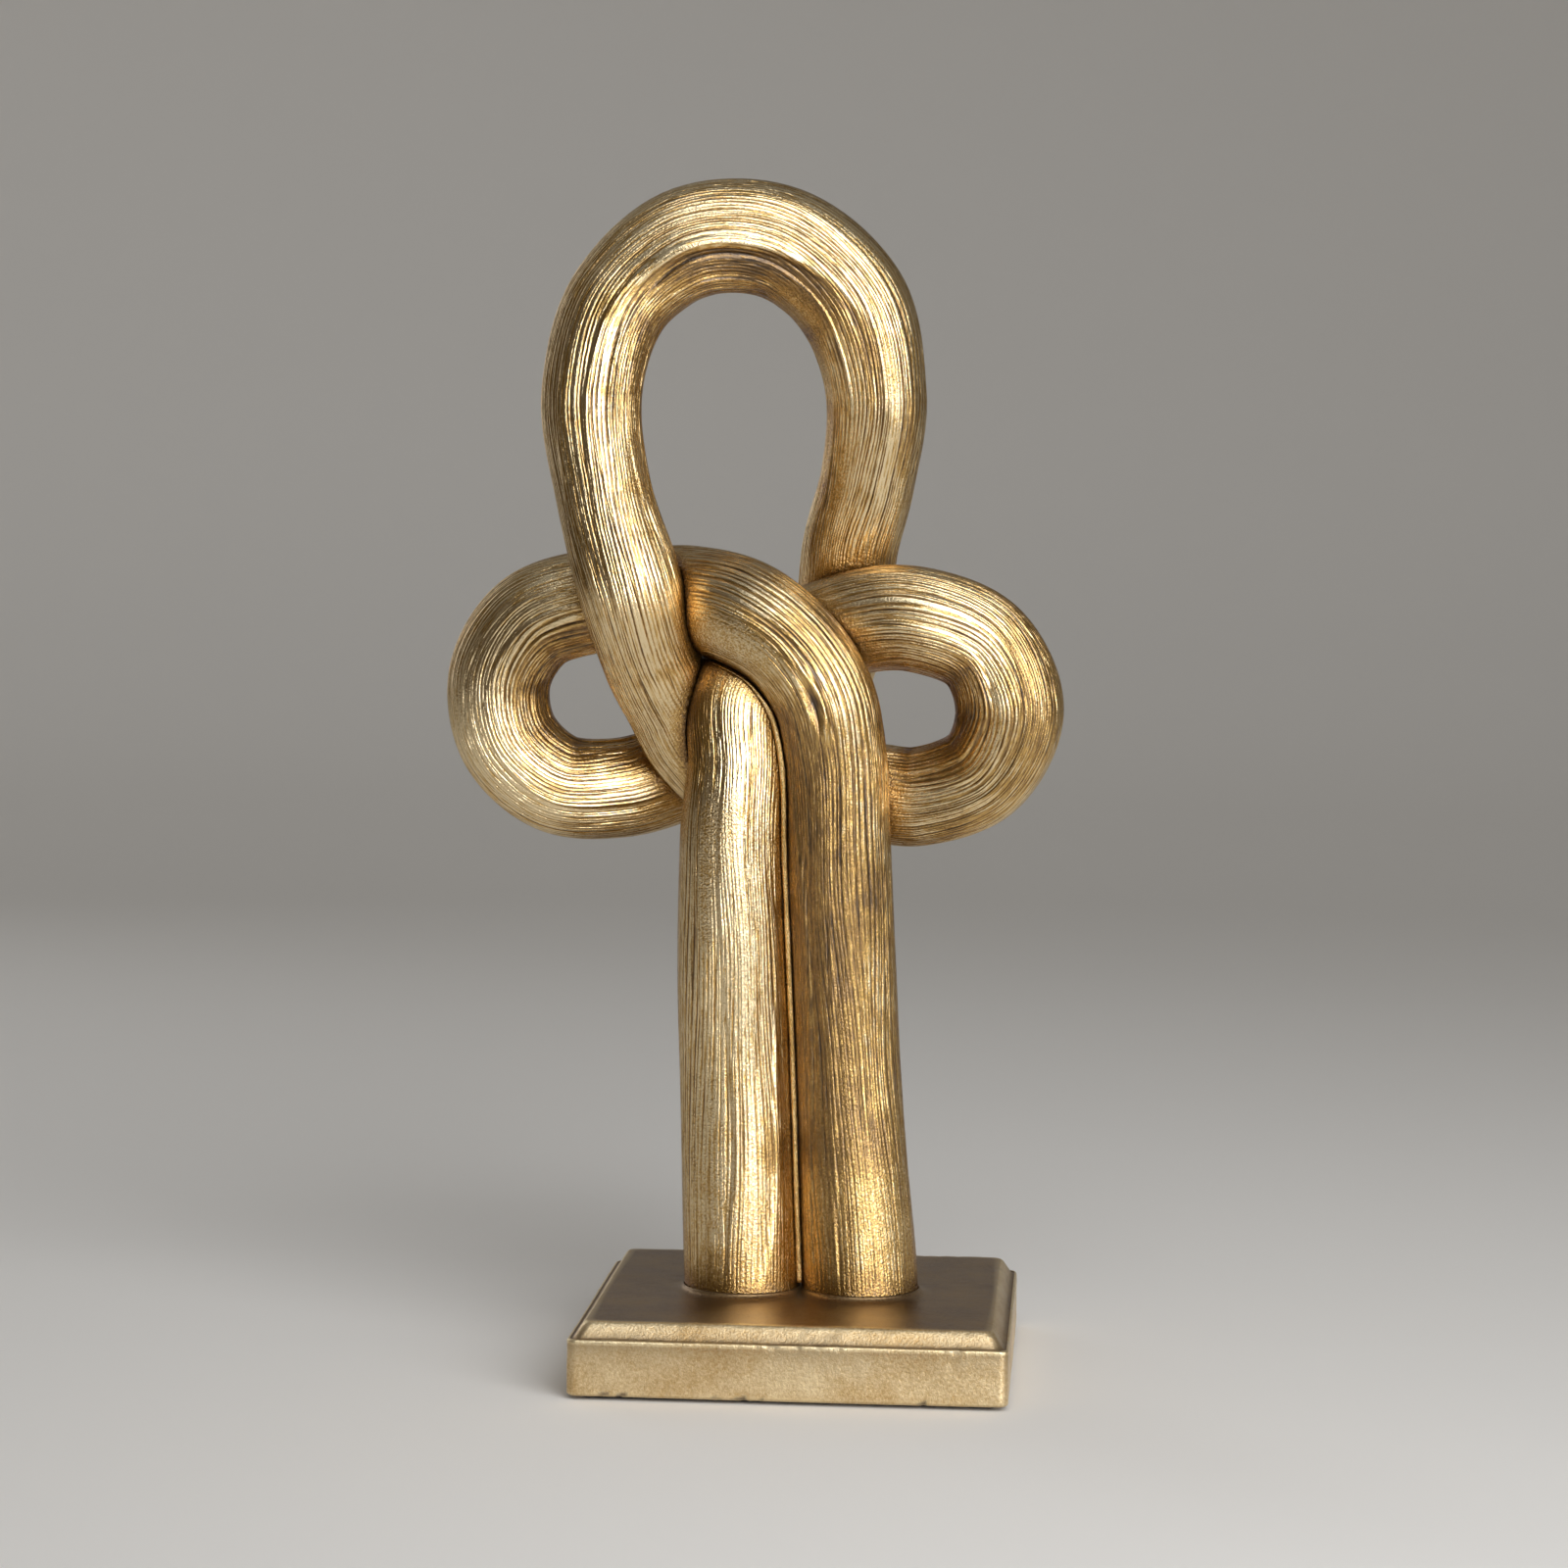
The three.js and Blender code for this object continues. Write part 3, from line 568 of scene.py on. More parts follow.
def stations(along):
    """Centre, direction, across, back and radius at lengths along the strand. Across is square to the
    direction and to the depth axis, back completes the three, and the radius eases between knots."""
    spans = np.interp(along, run_length, all_spans)
    centre, slope = course_at(spans)
    direction = slope / np.linalg.norm(slope, axis=1)[:, None]
    across = np.cross([0, 1, 0], direction)
    across /= np.linalg.norm(across, axis=1)[:, None]
    back = np.cross(direction, across)
    i = np.clip(spans.astype(int), 0, len(knots) - 2)
    f = spans - i
    ease = f * f * (3 - 2 * f)
    radius = (knots[i, 3] * (1 - ease) + knots[i + 1, 3] * ease) / 2
    return centre, direction, across, back, radius


APART = 60
CLEAR_STEP = 3
POINTS_AT_ONCE = 4000


def clearance(points, along):
    """Gap in mm from each point to the nearest other stretch of the strand: the least, over the
    places more than a set length away along it, of the distance to the centre line less the radius
    there."""
    lengths = np.arange(0, run_length[-1], CLEAR_STEP)
    centre, _, _, _, radius = stations(lengths)
    gap = np.empty(len(points))
    for part in np.array_split(np.arange(len(points)), len(points) // POINTS_AT_ONCE + 1):
        squares = (points[part] ** 2).sum(axis=1)[:, None] + (centre ** 2).sum(axis=1)
        near = np.sqrt(np.maximum(squares - 2 * points[part] @ centre.T, 0)) - radius
        near[np.abs(along[part, None] - lengths) < APART] = np.inf
        gap[part] = near.min(axis=1)
    return gap


MEAN_RADIUS = STRAND / 2
# Each random field on the skin: its seed, how many times longer than wide its spots are, and
# their width.
SKIN_FIELDS = {
    "lumps": (10, 4, 13),
    "ribbon_height": (12, 5, 12),
    "ribbon_sway": (15, 7, 15),
    "plain": (13, 5, 7),
    "comb_sway": (20, 5, 15),
    "comb_ripple": (21, 6, 7),
    "comb_breaks": (23, 8, 1.3),
    "deep_sway": (31, 6, 9),
    "patina": (52, 2.5, 11),
    "bead": (61, 1, 5),
}


def skin_place(along, angle, stretch):
    """A place for each point of the skin, in mm, in which the strand is straight and shortened by a
    stretch, so that round spots there become streaks along the strand with no seam round it."""
    return np.stack((MEAN_RADIUS * np.cos(angle), MEAN_RADIUS * np.sin(angle), along / stretch), axis=-1)


def skin_cloud(field, along, angle):
    """One of the random fields on the skin, from 0 to 1: a cloud at the places of the skin."""
    seed, stretch, width = SKIN_FIELDS[field]
    return cloud(seed, skin_place(along, angle, stretch), width)


TOOTH_SHIFT = 0.5
TOOTH_WIDTHS = [0.16, 0.44]


def comb(seed, phase, along, teeth, patch):
    """How near each point is to the groove of a tooth, from 0 on a ridge to 1 in a groove, and how deep
    the tooth was pressed there. Grooves lie near whole numbers of the phase, each shifted a little and
    with a width of its own, and the depth changes from patch to patch along it."""
    line = np.floor(phase + 0.5).astype(int)
    tooth = line % teeth
    random = np.random.default_rng(seed)
    offset = TOOTH_SHIFT * (random.random(teeth) - 0.5)
    half_width = np.interp(random.random(teeth), [0, 1], TOOTH_WIDTHS)
    depths = random.random((int(run_length[-1] / patch) + 2, teeth))
    u = along / patch
    i = np.floor(u).astype(int)
    share = u - i
    depth = depths[i, tooth] * (1 - share) + depths[i + 1, tooth] * share
    near = np.clip(1 - np.abs(phase - line - offset[tooth]) / half_width[tooth], 0, 1)
    return near, depth


def spot(along, angle, middle, turn, half_length, half_turn):
    """A soft oval spot on the skin, 1 in its middle and 0 outside: it falls off with the fourth power
    of the distance, measured in half lengths along the strand and half turns round it."""
    away = ((along - middle) / half_length) ** 2 + ((angle - turn) / half_turn) ** 2
    return np.exp(-away ** 2)


LIP_ALONG = [605, 619, 641, 660, 684, 710]
LIP_TURN = [4.9, 4.76, 4.6, 4.48, 4.52, 4.52]
LIP_MIDDLE = 658
LIP_REACH = 46
LIP_HEIGHT = 1.1
LIP_WIDTH = 0.2
FLAT_DEPTH = 2.2
FLAT_TURN = 0.62
FLAT_WIDTH = 0.34


def crown_lip(along, angle):
    """The one sharp edge, along the inside of the crown's front, and the painted shade under it.
    The skin is flattened outside the edge, rises to it, drops, and comes back slowly. The edge and
    the painted shade fade away at the ends."""
    off = angle - np.interp(along, LIP_ALONG, LIP_TURN)
    rise = LIP_HEIGHT * np.exp(-(off / LIP_WIDTH) ** 2)
    rise -= FLAT_DEPTH * np.exp(-((off - FLAT_TURN) / FLAT_WIDTH) ** 2)
    drop = np.interp(off, [-0.8, -0.15, 0], [0, -0.6, 1])
    # Painted shade under the edge, on its inner side.
    under = np.interp(off, [-0.9, -0.5, -0.1, 0], [0, 0.5, 0.65, 0])
    reach = np.exp(-((along - LIP_MIDDLE) / LIP_REACH) ** 4)
    return np.where(off > 0, rise, drop) * reach, under * reach


LUMP_HEIGHT = 0.9
RIBBONS = 9
RIBBON_HEIGHT = 1.05
RIBBON_SWAY = 1.9
RIBBON_RISE = 0.87
# Each spot's place along the strand and round it, its half length and its half turn.
PLAIN_SPOTS = [(238, 4.15, 20, 0.55), (1108, 4.9, 15, 0.9)]
PLAIN_PATCHES = [0.675, 0.875]
FADING_COMB = [35, 100]
FAINT_COMB = 0.12
COMB_TEETH = 84
COMB_PATCH = 24
COMB_DEPTH = 0.42
COMB_SWAY = 7
COMB_RIPPLE = 1.6
FAINT_TOOTH = 0.25
DEEP_TEETH = 40
DEEP_PATCH = 30
DEEP_DEPTH = 0.5
DEEP_SWAY = 2.2
DEEP_NARROW = 0.72
DEEP_ONSET = 0.5
EYE_ALONG = 204
EYE_TURN = 4.575
EYE_LENGTH = 14
EYE_WIDTH = 0.22
EYE_RISE = 2.4
EYE_SLOT_DEPTH = 1.1
EYE_SLOT_WIDTH = 0.2
EYE_RIM_HEIGHT = 0.55
EYE_RIM_PLACE = 0.8
EYE_RIM_WIDTH = 0.28


def relief(along, angle, open_skin):
    """Height of the skin over the round strand in mm, how deep each place lies in a groove, how
    strongly it is combed, and the painted shade under the crown's lip. Broad lumps carry ribbons that
    step down one over the next. A fine comb and a few deep teeth run along them and part round one eye.
    Where the strand was laid against another it is left plain, and towards the feet the comb fades."""
    turns = angle / (2 * np.pi)
    lip, lip_shade = crown_lip(along, angle)
    lumps = LUMP_HEIGHT * (skin_cloud("lumps", along, angle) - 0.5) + lip
    step = (RIBBONS * turns + RIBBON_SWAY * skin_cloud("ribbon_sway", along, angle)) % 1
    step = np.where(step < RIBBON_RISE, step / RIBBON_RISE, (1 - step) / (1 - RIBBON_RISE))
    ribbon = RIBBON_HEIGHT * (step - 0.5) * skin_cloud("ribbon_height", along, angle)

    plain = 1 - open_skin
    for oval in PLAIN_SPOTS:
        plain = np.maximum(plain, spot(along, angle, *oval))
    plain = np.maximum(plain, np.interp(skin_cloud("plain", along, angle), PLAIN_PATCHES, [0, 0.8]))
    from_foot = np.minimum(along, run_length[-1] - along)
    plain = np.maximum(plain, np.interp(from_foot, FADING_COMB, [0.6, 0]))
    combed = 1 - plain

    eye = ((along - EYE_ALONG) / EYE_LENGTH) ** 2 + ((angle - EYE_TURN) / EYE_WIDTH) ** 2
    eye_slot = np.exp(-eye / EYE_SLOT_WIDTH)
    eye_rim = np.exp(-((np.sqrt(eye) - EYE_RIM_PLACE) / EYE_RIM_WIDTH) ** 2)
    round_eye = 1 - np.exp(-1.5 * eye ** 2)

    sway = COMB_RIPPLE * skin_cloud("comb_ripple", along, angle)
    sway += COMB_SWAY * skin_cloud("comb_sway", along, angle)
    phase = COMB_TEETH * turns + sway + EYE_RISE * np.exp(-eye)
    near, depth = comb(22, phase, along, COMB_TEETH, COMB_PATCH)
    pressed = FAINT_TOOTH + (1 - FAINT_TOOTH) * depth
    broken = 0.7 + 0.6 * skin_cloud("comb_breaks", along, angle)
    fine = near * pressed * broken * (FAINT_COMB + (1 - FAINT_COMB) * combed) * round_eye

    deep_phase = DEEP_TEETH * turns + DEEP_SWAY * skin_cloud("deep_sway", along, angle)
    deep_near, deep_depth = comb(34, deep_phase, along, DEEP_TEETH, DEEP_PATCH)
    deep = np.clip((deep_near - DEEP_NARROW) / (1 - DEEP_NARROW), 0, 1)
    deep *= np.clip(3 * (deep_depth - DEEP_ONSET), 0, 1) * combed

    height = open_skin * (lumps + ribbon) - COMB_DEPTH * fine - DEEP_DEPTH * deep
    height += EYE_RIM_HEIGHT * eye_rim - EYE_SLOT_DEPTH * eye_slot
    groove = np.clip(np.maximum(np.maximum(fine, 1.1 * deep), eye_slot), 0, 1)
    return height, groove, combed, lip_shade


RINGS = 148
SIDES = 640
PRESS_STEP = 1.5
PRESS_GAP = 0.25
PAST_END = 1


def press_behind(points, over, spare):
    """Points that lie inside another length's round form go straight out from its centre line to just
    clear of its skin, as the soft strand gave way where the other was laid on it. Points past the
    ends of that length stay."""
    first, last = extent[over]
    lengths = np.arange(first, last, PRESS_STEP)
    centre, direction, _, _, radius = stations(lengths)
    low = (centre - radius[:, None]).min(axis=0) - spare
    high = (centre + radius[:, None]).max(axis=0) + spare
    near = np.flatnonzero(((points > low) & (points < high)).all(axis=1))
    for part in np.array_split(near, max(1, len(near) // POINTS_AT_ONCE)):
        apart = points[part, None, :] - centre
        distance = np.linalg.norm(apart, axis=2)
        i = np.argmin(distance - radius, axis=1)
        row = np.arange(len(part))
        away = apart[row, i]
        gap = distance[row, i]
        ahead = (away * direction[i]).sum(axis=1)
        beyond = ((i == 0) & (ahead < -PAST_END)) | ((i == len(lengths) - 1) & (ahead > PAST_END))
        inside = (gap < radius[i] + spare) & ~beyond
        reach = (radius[i] + spare) / np.maximum(gap, 1e-6)
        points[part[inside]] = (centre[i] + away * reach[:, None])[inside]
    return points


# Where each length of the strand starts and ends along it.
extent = {}
knots_so_far = 0
for name, own_knots in course.items():
    first = run_length[max(knots_so_far - 1, 0) * SPAN_STEPS]
    knots_so_far += len(own_knots)
    extent[name] = (first, run_length[(knots_so_far - 1) * SPAN_STEPS])

# Gold leaf over combed resin, glazed and rubbed back: pale bright metal on the ridges, brown glaze left
# in the grooves, painted shade in the folds, bends and under the lip, and a glitter of fine brush lines
# and stipple over everything.
# The lines and the stipple are drawn 0.7 mm wide, coarser than real, so that they show.
gilt = bpy.data.materials.new("gold_leaf_on_combed_resin_with_painted_light")
gilt.use_nodes = True
tree = gilt.node_tree
shader = tree.nodes["Principled BSDF"]
BRUSH_LINE = 0.7 * MM
STIPPLE = 0.7 * MM
LEAF = 9 * MM
GLAZE_BREAKS = 1.7
GLAZE_LEVEL = 0.86
place = add_node(tree, "ShaderNodeTexCoord", {}).outputs["Object"]
brush_place = add_node(tree, "ShaderNodeAttribute", {}, attribute_name="brush_place").outputs["Vector"]
glaze_and_shade = add_node(tree, "ShaderNodeAttribute", {}, attribute_name="glaze_and_shade").outputs["Fac"]
combed_skin = add_node(tree, "ShaderNodeAttribute", {}, attribute_name="combed").outputs["Fac"]
brushed = add_node(
    tree, "ShaderNodeTexNoise",
    {"Vector": brush_place, "Scale": 1 / BRUSH_LINE, "Detail": 3, "Roughness": 0.7},
).outputs["Fac"]
stipple = add_node(
    tree, "ShaderNodeTexNoise", {"Vector": place, "Scale": 1 / STIPPLE, "Detail": 3, "Roughness": 0.6},
).outputs["Fac"]
leaf = add_node(
    tree, "ShaderNodeTexNoise", {"Vector": place, "Scale": 1 / LEAF, "Detail": 5, "Roughness": 0.6},
).outputs["Fac"]
fine_skin = add_node(
    tree, "ShaderNodeMix", {"Factor": combed_skin, "A": stipple, "B": brushed}, data_type="FLOAT",
).outputs["Result"]
blend = add_node(
    tree, "ShaderNodeMix", {"Factor": 0.8, "A": leaf, "B": fine_skin}, data_type="FLOAT",
).outputs["Result"]
uneven_glaze_and_shade = add_node(
    tree, "ShaderNodeMath", {0: blend, 1: -GLAZE_BREAKS, 2: glaze_and_shade}, operation="MULTIPLY_ADD",
).outputs[0]
# How dark each place is: glaze and painted shade, broken up by the leaf and the fine skin.
glaze_and_shade_depth = add_node(
    tree, "ShaderNodeMath", {0: uneven_glaze_and_shade, 1: GLAZE_LEVEL}, operation="ADD", use_clamp=True,
).outputs[0]
leaf_colour = add_node(tree, "ShaderNodeValToRGB", {"Fac": glaze_and_shade_depth})
ramp = leaf_colour.color_ramp
ramp.elements[0].position = 0.08
ramp.elements[0].color = linear("#f3dbab")
ramp.elements[1].position = 1
ramp.elements[1].color = linear("#35240d")
ramp.elements.new(0.26).color = linear("#d3a857")
ramp.elements.new(0.5).color = linear("#987236")
ramp.elements.new(0.8).color = linear("#573e19")
gloss = add_node(
    tree, "ShaderNodeMapRange",
    {"Value": glaze_and_shade_depth, "From Min": 0, "From Max": 1, "To Min": 0.16, "To Max": 0.4},
).outputs["Result"]
metal = add_node(
    tree, "ShaderNodeMapRange",
    {"Value": glaze_and_shade_depth, "From Min": 0.35, "From Max": 1, "To Min": 0.98, "To Max": 0.75},
).outputs["Result"]
brush_bump = add_node(
    tree, "ShaderNodeBump", {"Height": fine_skin, "Strength": 1, "Distance": 0.2 * MM},
).outputs["Normal"]
stipple_bump = add_node(
    tree, "ShaderNodeBump",
    {"Height": stipple, "Strength": 0.6, "Distance": 0.2 * MM, "Normal": brush_bump},
).outputs["Normal"]
tree.links.new(leaf_colour.outputs["Color"], shader.inputs["Base Color"])
tree.links.new(gloss, shader.inputs["Roughness"])
tree.links.new(metal, shader.inputs["Metallic"])
tree.links.new(stipple_bump, shader.inputs["Normal"])
tree.links.new(stipple_bump, shader.inputs["Coat Normal"])
shader.inputs["Specular Tint"].default_value = linear("#8f6b3a")
shader.inputs["Coat Weight"].default_value = 0.8
shader.inputs["Coat IOR"].default_value = 1.7
shader.inputs["Coat Roughness"].default_value = 0.12

GROOVE_GLAZE = 0.92
# Painted shade in the creases where one stretch of the strand lies against another.
FOLD_SHADE = 0.7
FOLD_REACH = 2.2
# Painted shade inside the strand's hollow bends.
HOLLOW_SHADE = 0.45
HOLLOW_BEND = [1 / 22, 0.5]
PLAIN_GLAZE = 0.14
PATINA = 0.35
PATINA_PATCHES = [0.625, 0.875]
# Painted shade on the left of the right leg, turned away from the window, and on a spot of the right
# loop.
SIDE_SHADE = 0.3
SIDE_SHADE_ALONG = [0, 70, 170, 230]
SIDE_SHADE_TURN = 3.9
SIDE_SHADE_ROUND = 0.6
SIDE_SHADE_FACING = 0.9
LOOP_SHADE_SPOT = (1000, 5.3, 26, 0.6)
# Painted shade at the feet, where the strand meets the plinth.
FOOT_SHADE = 0.32
FOOT_SHADE_REACH = 8
# Painted highlight on the crown, the left loop and the left leg: each spot, and how strongly it lightens.
PAINTED_HIGHLIGHT_SPOTS = [
    (642, 5.2, 44, 0.7, 0.3),
    (347, 5.2, 40, 0.7, 0.9),
    (run_length[-1] - 128, 4.6, 58, 0.6, 0.8),
]


def glaze_and_painted_light(along, angle, gap, inner, groove, combed, lip_shade):
    """The glaze and painted shade on the skin, from 0 to 1: one less the product of what is left clear
    for each cause. Glaze stays in grooves, on plain skin and in cloudy patches. Shade is painted into
    folds, hollow bends and under the lip, on the left of the right leg, on a spot of the right loop and
    at the feet. A few spots are painted in highlight, with less glaze in their grooves and patches."""
    # Painted shade in the creases against other stretches of the strand.
    fold_shade = FOLD_SHADE * np.exp(-np.maximum(gap, 0) / FOLD_REACH)
    # Painted shade inside hollow bends and under the crown's lip.
    hollow_shade = np.maximum(np.interp(inner, HOLLOW_BEND, [0, HOLLOW_SHADE]), lip_shade)
    patina = np.interp(skin_cloud("patina", along, angle), PATINA_PATCHES, [0, PATINA])
    # Painted shade on the left of the right leg, which faces away from the window, and on a spot of the
    # right loop.
    side_shade = np.interp(along, SIDE_SHADE_ALONG, [0, SIDE_SHADE, SIDE_SHADE, 0])
    side_shade *= SIDE_SHADE_ROUND + SIDE_SHADE_FACING * np.clip(np.cos(angle - SIDE_SHADE_TURN), 0, 1)
    side_shade = np.maximum(side_shade, SIDE_SHADE * spot(along, angle, *LOOP_SHADE_SPOT))
    # Painted shade where the strand meets the plinth.
    from_plinth = np.minimum(along, run_length[-1] - along) - SOCKET_DEPTH - FILLET
    foot = FOOT_SHADE * np.exp(-np.maximum(from_plinth, 0) / FOOT_SHADE_REACH)
    # Painted highlight in a few spots, where less glaze is left in the grooves and patches.
    spot_highlight = np.zeros(along.shape)
    for *oval, highlight_strength in PAINTED_HIGHLIGHT_SPOTS:
        spot_highlight = np.maximum(spot_highlight, highlight_strength * spot(along, angle, *oval))
    taken = (1 - GROOVE_GLAZE * groove * (1 - spot_highlight)) * (1 - fold_shade) * (1 - hollow_shade)
    taken *= (1 - PLAIN_GLAZE * (1 - combed)) * (1 - patina * (1 - spot_highlight)) * (1 - side_shade) * (1 - foot)
    return 1 - taken


BRUSH_STRETCH = 9
SKIN_OPENS = [0.6, 8.6]
FOOT_OPENS = [PLINTH_TOP + FILLET + 0.5, PLINTH_TOP + FILLET + 9.5]
# The lengths that lie over each length and press into it.
passes_over = {
    "right_leg": ["tall_loop"],
    "left_loop": ["tall_loop", "right_leg", "right_loop", "left_leg"],
    "tall_loop": ["left_leg", "right_loop"],
    "right_loop": ["right_leg"],
    "left_leg": ["right_leg"],
}
for name, (first, last) in extent.items():
    start = first + (SEAT_GAP / 2 if first > 0 else 0)
    end = last - (SEAT_GAP / 2 if last < run_length[-1] else 0)
    lengths = np.linspace(start, end, RINGS)
    turns = np.linspace(0, 2 * np.pi, SIDES, endpoint=False)
    along, angle = np.meshgrid(lengths, turns, indexing="ij")
    centre, direction, across, back, radius = stations(lengths)
    normal = np.cos(angle)[:, :, None] * across[:, None, :]
    normal += np.sin(angle)[:, :, None] * back[:, None, :]
    points = centre[:, None, :] + radius[:, None, None] * normal
    gap = clearance(points.reshape(-1, 3), along.ravel()).reshape(along.shape)
    open_skin = np.interp(gap, SKIN_OPENS, [0, 1]) * np.interp(points[:, :, 2], FOOT_OPENS, [0, 1])
    height, groove, combed, lip_shade = relief(along, angle, open_skin)
    points += height[:, :, None] * normal
    # The feet are cut level.
    if first == 0:
        points[0, :, 2] = knots[0, 2]
    if last == run_length[-1]:
        points[-1, :, 2] = knots[-1, 2]
    flat = points.reshape(-1, 3)
    for over in passes_over[name]:
        flat = press_behind(flat, over, PRESS_GAP)
    turning = np.gradient(direction, lengths, axis=0)
    inner = (normal * turning[:, None, :]).sum(axis=-1) * MEAN_RADIUS
    mesh = ring_mesh(f"{name}_gilded", flat.reshape(points.shape), {
        "glaze_and_shade": glaze_and_painted_light(along, angle, gap, inner, groove, combed, lip_shade),
        "combed": combed,
        "brush_place": skin_place(along, angle, BRUSH_STRETCH) * MM,
    })
    stand_for(name, mesh, gilt)


# Bead
# A thin cord of resin laid in the front groove between the legs, from the tip of the left one
# to the plinth, and gilded with them.
BEAD_RADIUS = 0.9
BEAD_UNEVEN = 0.28
BEAD_TAPER = 12
BEAD_TIP = 0.15
BEAD_SIDES = 16
BEAD_GLAZE = 0.25
BEAD_COMBED = 0.5
HALVINGS = 30
bead_top = run_length[(len(knots) - len(course["left_leg"])) * SPAN_STEPS]
bead_foot = run_length[-1] - (SOCKET_DEPTH + FILLET)
bead_lengths = np.arange(bead_top, bead_foot, 1)


def bead_path(lengths):
    """Where a ball of the bead's size rests on both legs: it rolls round the left leg from its outer
    side, and the angle at which it meets the right leg and its arch is found by halving."""
    centre, _, across, back, radius = stations(lengths)
    arch_centre, _, _, _, arch_radius = stations(np.arange(0, extent["right_leg"][1], BEAD_RADIUS))
    reach = (radius + SEAT_GAP + BEAD_RADIUS)[:, None]
    right = across * np.sign(across[:, :1])
    clear = np.full((len(lengths), 1), -np.pi / 2)
    touching = np.full((len(lengths), 1), np.pi / 2)
    for _ in range(HALVINGS):
        angle = (clear + touching) / 2
        ball = centre + reach * (right * np.sin(angle) - back * np.cos(angle))
        gap = (np.linalg.norm(ball[:, None, :] - arch_centre, axis=2) - arch_radius).min(axis=1)
        free = (gap > SEAT_GAP + BEAD_RADIUS)[:, None]
        clear = np.where(free, angle, clear)
        touching = np.where(free, touching, angle)
    return ball


bead_middle = bead_path(bead_lengths)
bead_run = np.gradient(bead_middle, axis=0)
bead_run /= np.linalg.norm(bead_run, axis=1)[:, None]
bead_across = np.cross([0, 1, 0], bead_run)
bead_across /= np.linalg.norm(bead_across, axis=1)[:, None]
bead_back = np.cross(bead_run, bead_across)
bead_turns = np.linspace(0, 2 * np.pi, BEAD_SIDES, endpoint=False)
along, angle = np.meshgrid(bead_lengths, bead_turns, indexing="ij")
bead_radius = BEAD_RADIUS * (1 + BEAD_UNEVEN * (skin_cloud("bead", along, angle) - 0.5))
bead_radius *= np.clip((along - bead_top + 1) / BEAD_TAPER, BEAD_TIP, 1)
bead_normal = np.cos(angle)[:, :, None] * bead_across[:, None, :]
bead_normal += np.sin(angle)[:, :, None] * bead_back[:, None, :]
bead_points = bead_middle[:, None, :] + bead_radius[:, :, None] * bead_normal
bead_mesh = ring_mesh("bead_gilded", bead_points, {
    "glaze_and_shade": np.full(along.shape, BEAD_GLAZE),
    "combed": np.full(along.shape, BEAD_COMBED),
    "brush_place": skin_place(along, angle, BRUSH_STRETCH) * MM,
})
stand_for("groove_bead", bead_mesh, gilt)


# Floor and light
# A pale sweep of paper that runs up into a wall all round. A broad window of light stands in front at
# the right, with a weaker lamp above it, a low one near the floor, and a faint one behind at the left.
# Sizes here are in metres.
SWEEP_SIDES = 96
sweep_radius = np.array([0.01, 0.4, 0.8, 1.2, 1.6, 2.0, 2.3, 2.5, 2.6, 2.6])
sweep_height = np.array([0, 0, 0, 0, 0, 0.04, 0.16, 0.42, 0.8, 2.6])
sweep_turn = np.exp(2j * np.pi * np.arange(SWEEP_SIDES) / SWEEP_SIDES)
sweep_points = stack_rings(sweep_radius[:, None] * sweep_turn, sweep_height)
index = np.arange(len(sweep_radius) * SWEEP_SIDES).reshape(-1, SWEEP_SIDES)
turned = np.roll(index, -1, axis=1)
quads = np.stack((index[:-1], index[1:], turned[1:], turned[:-1]), axis=-1).reshape(-1, 4)
sweep_mesh = bpy.data.meshes.new("paper_sweep")
sweep_mesh.from_pydata(sweep_points.reshape(-1, 3).tolist(), [], quads.tolist())
sweep_mesh.polygons.foreach_set("use_smooth", np.ones(len(sweep_mesh.polygons), dtype=bool))
sweep = bpy.data.objects.new("paper_sweep", sweep_mesh)
bpy.context.scene.collection.objects.link(sweep)

# Graduated paper: matt and pale, and darker in front, out of the picture: painted shade that stands
# in for the dim room there, so that the gilding has something dark to mirror.
DARK_WAY = (-0.3, -0.954, 0)
DARK_FROM = 0.5
DARK_FULL = 0.9
paper = bpy.data.materials.new("matt_paper_with_painted_shade")
paper.use_nodes = True
tree = paper.node_tree
shader = tree.nodes["Principled BSDF"]
place = add_node(tree, "ShaderNodeTexCoord", {}).outputs["Object"]
forwards = add_node(
    tree, "ShaderNodeVectorMath", {0: place, 1: DARK_WAY}, operation="DOT_PRODUCT",
).outputs["Value"]
grade = add_node(
    tree, "ShaderNodeMapRange", {"Value": forwards, "From Min": DARK_FROM, "From Max": DARK_FULL},
    interpolation_type="SMOOTHSTEP",
).outputs["Result"]
shade = add_node(
    tree, "ShaderNodeMix",
    {"Factor": grade, "A": linear("#ebe7e0"), "B": linear("#9c8d79")}, data_type="RGBA",
).outputs["Result"]
tree.links.new(shade, shader.inputs["Base Color"])
shader.inputs["Roughness"].default_value = 0.9
shader.inputs["Specular IOR Level"].default_value = 0.1
sweep_mesh.materials.append(paper)

world = bpy.data.worlds.new("plain_room")
bpy.context.scene.world = world
world.use_nodes = True
world.node_tree.nodes["Background"].inputs["Color"].default_value = linear("#d5d6d8")
world.node_tree.nodes["Background"].inputs["Strength"].default_value = 0.32

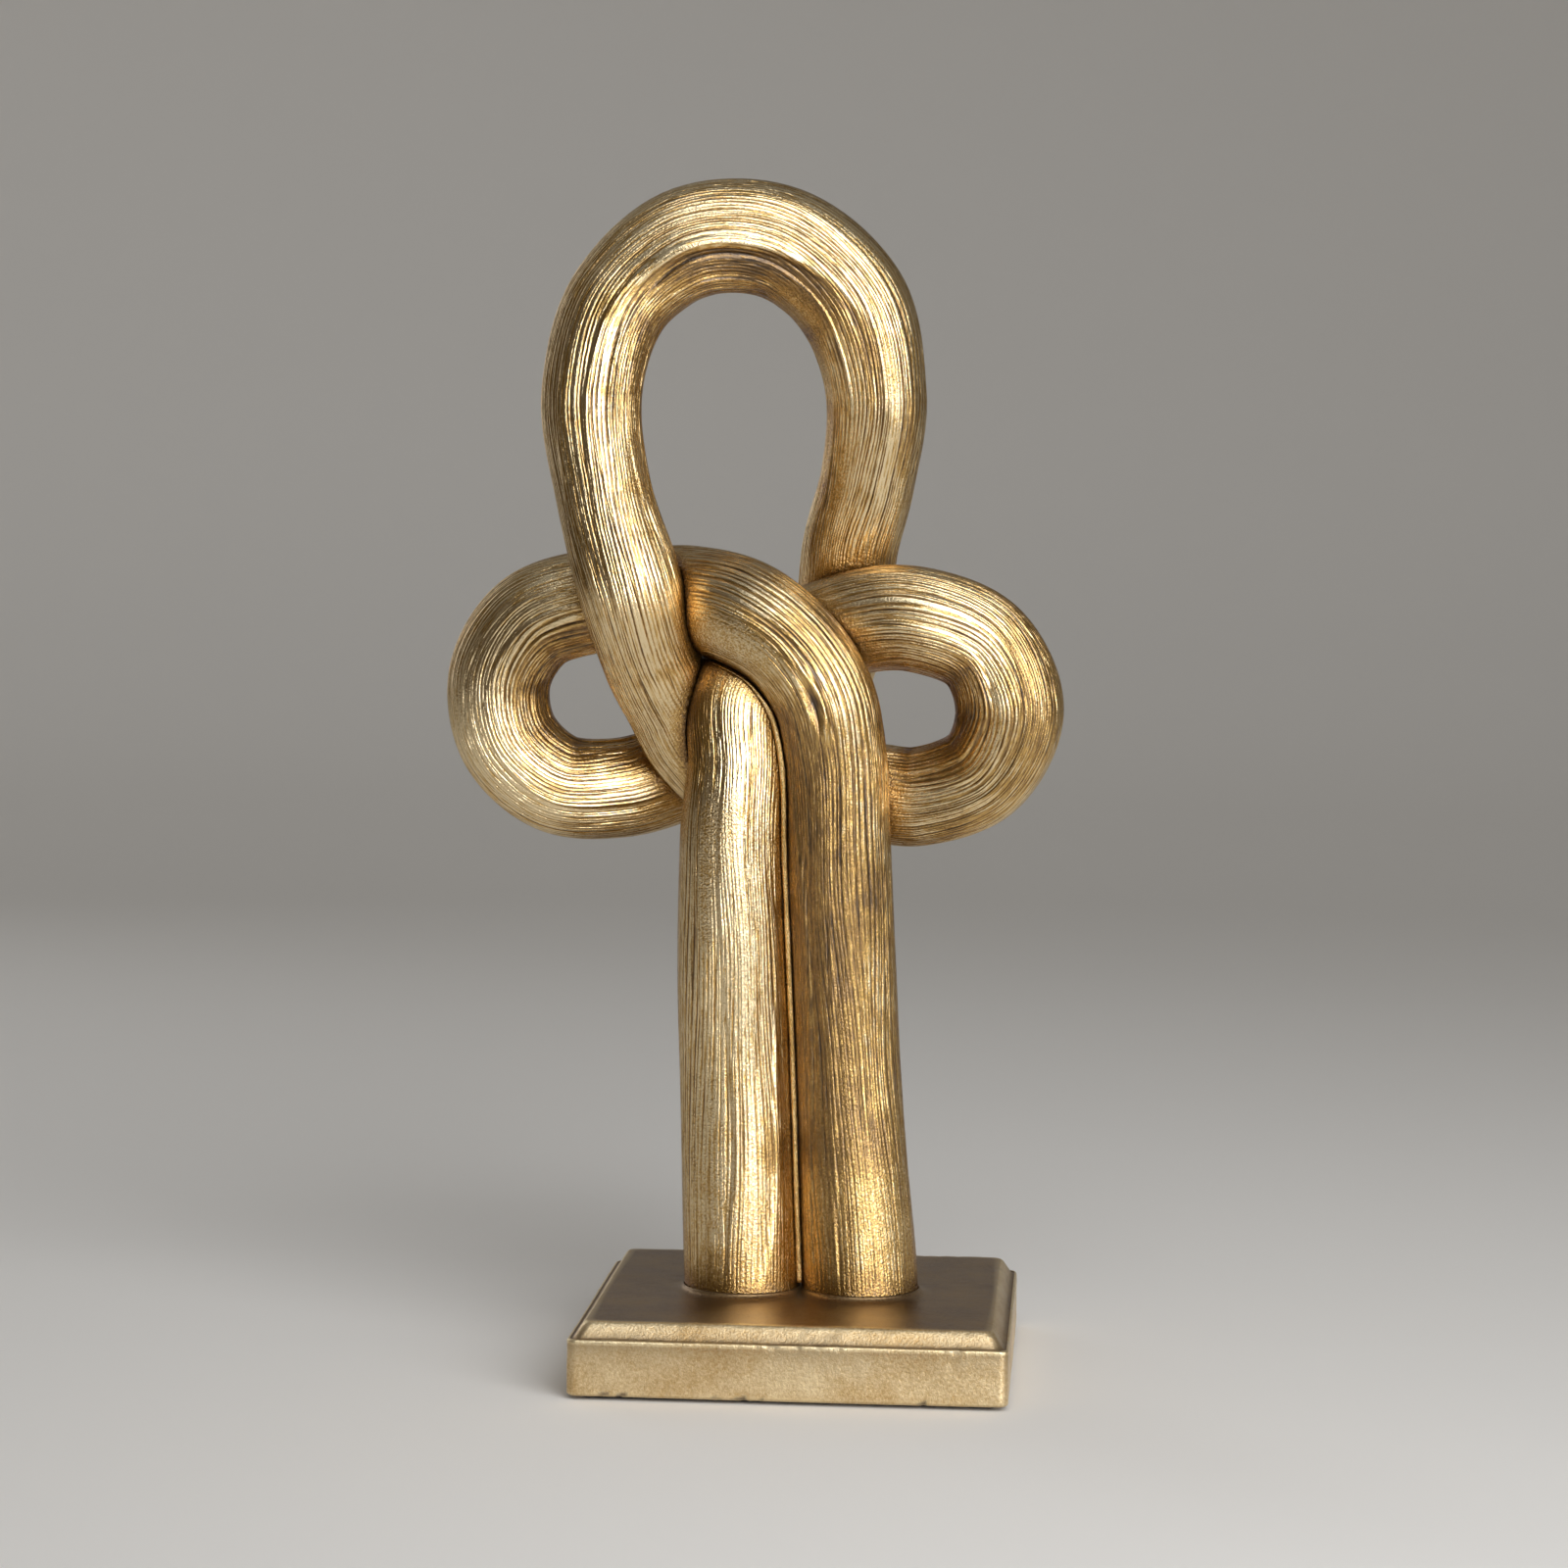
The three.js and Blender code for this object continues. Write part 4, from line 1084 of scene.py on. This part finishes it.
# Each lamp: where it stands, its width and height, and its power in watts. All face the knot.
LAMP_AIM = (0, 0, 0.22)
LAMP_SPREAD = np.radians(110)
LAMP_COLOUR = (0.97, 1, 1.05)
lamps = [
    ("window_light", (0.92, -1.31, 0.8), 1.5, 1.5, 10),
    ("overhead_light", (0.25, -1.3, 1.5), 1.2, 0.8, 3),
    ("low_light", (0.42, -0.68, 0.25), 0.5, 0.4, 0.8),
    ("fill_light", (-1.2, 1.2, 0.7), 0.6, 1.2, 1.2),
]
for name, location, width, height, power in lamps:
    lamp = bpy.data.lights.new(name, "AREA")
    lamp.shape = "RECTANGLE"
    lamp.size = width
    lamp.size_y = height
    lamp.energy = power
    lamp.spread = LAMP_SPREAD
    lamp.color = LAMP_COLOUR
    holder = bpy.data.objects.new(name, lamp)
    holder.location = location
    holder.rotation_mode = "QUATERNION"
    holder.rotation_quaternion = (Vector(LAMP_AIM) - Vector(location)).to_track_quat("-Z", "Y")
    holder.visible_camera = False
    bpy.context.scene.collection.objects.link(holder)

bpy.context.scene.view_settings.view_transform = "Standard"


# Camera
# A long lens in front of the sculpture, a little to the right and above its middle. It is turned to
# the left and down towards the sculpture, and rolled by less than a degree.
CAMERA_PLACE = (0.0924, -1.362, 0.2855)
FOCAL_LENGTH = 95.5
SENSOR_WIDTH = 36
YAW, PITCH, ROLL = np.radians([4.22, 3.92, 0.69])
turn = Matrix.Rotation(YAW, 3, "Z")
forward = turn @ Vector((0, np.cos(PITCH), -np.sin(PITCH)))
right = turn @ Vector((1, 0, 0))
up = right.cross(forward)
camera_right = right * np.cos(ROLL) + up * np.sin(ROLL)
camera_up = up * np.cos(ROLL) - right * np.sin(ROLL)
camera_data = bpy.data.cameras.new("photograph_view")
camera_data.lens = FOCAL_LENGTH
camera_data.sensor_width = SENSOR_WIDTH
camera = bpy.data.objects.new("photograph_view", camera_data)
camera.matrix_world = Matrix((camera_right, camera_up, -forward)).transposed().to_4x4()
camera.location = CAMERA_PLACE
bpy.context.scene.collection.objects.link(camera)
bpy.context.scene.camera = camera
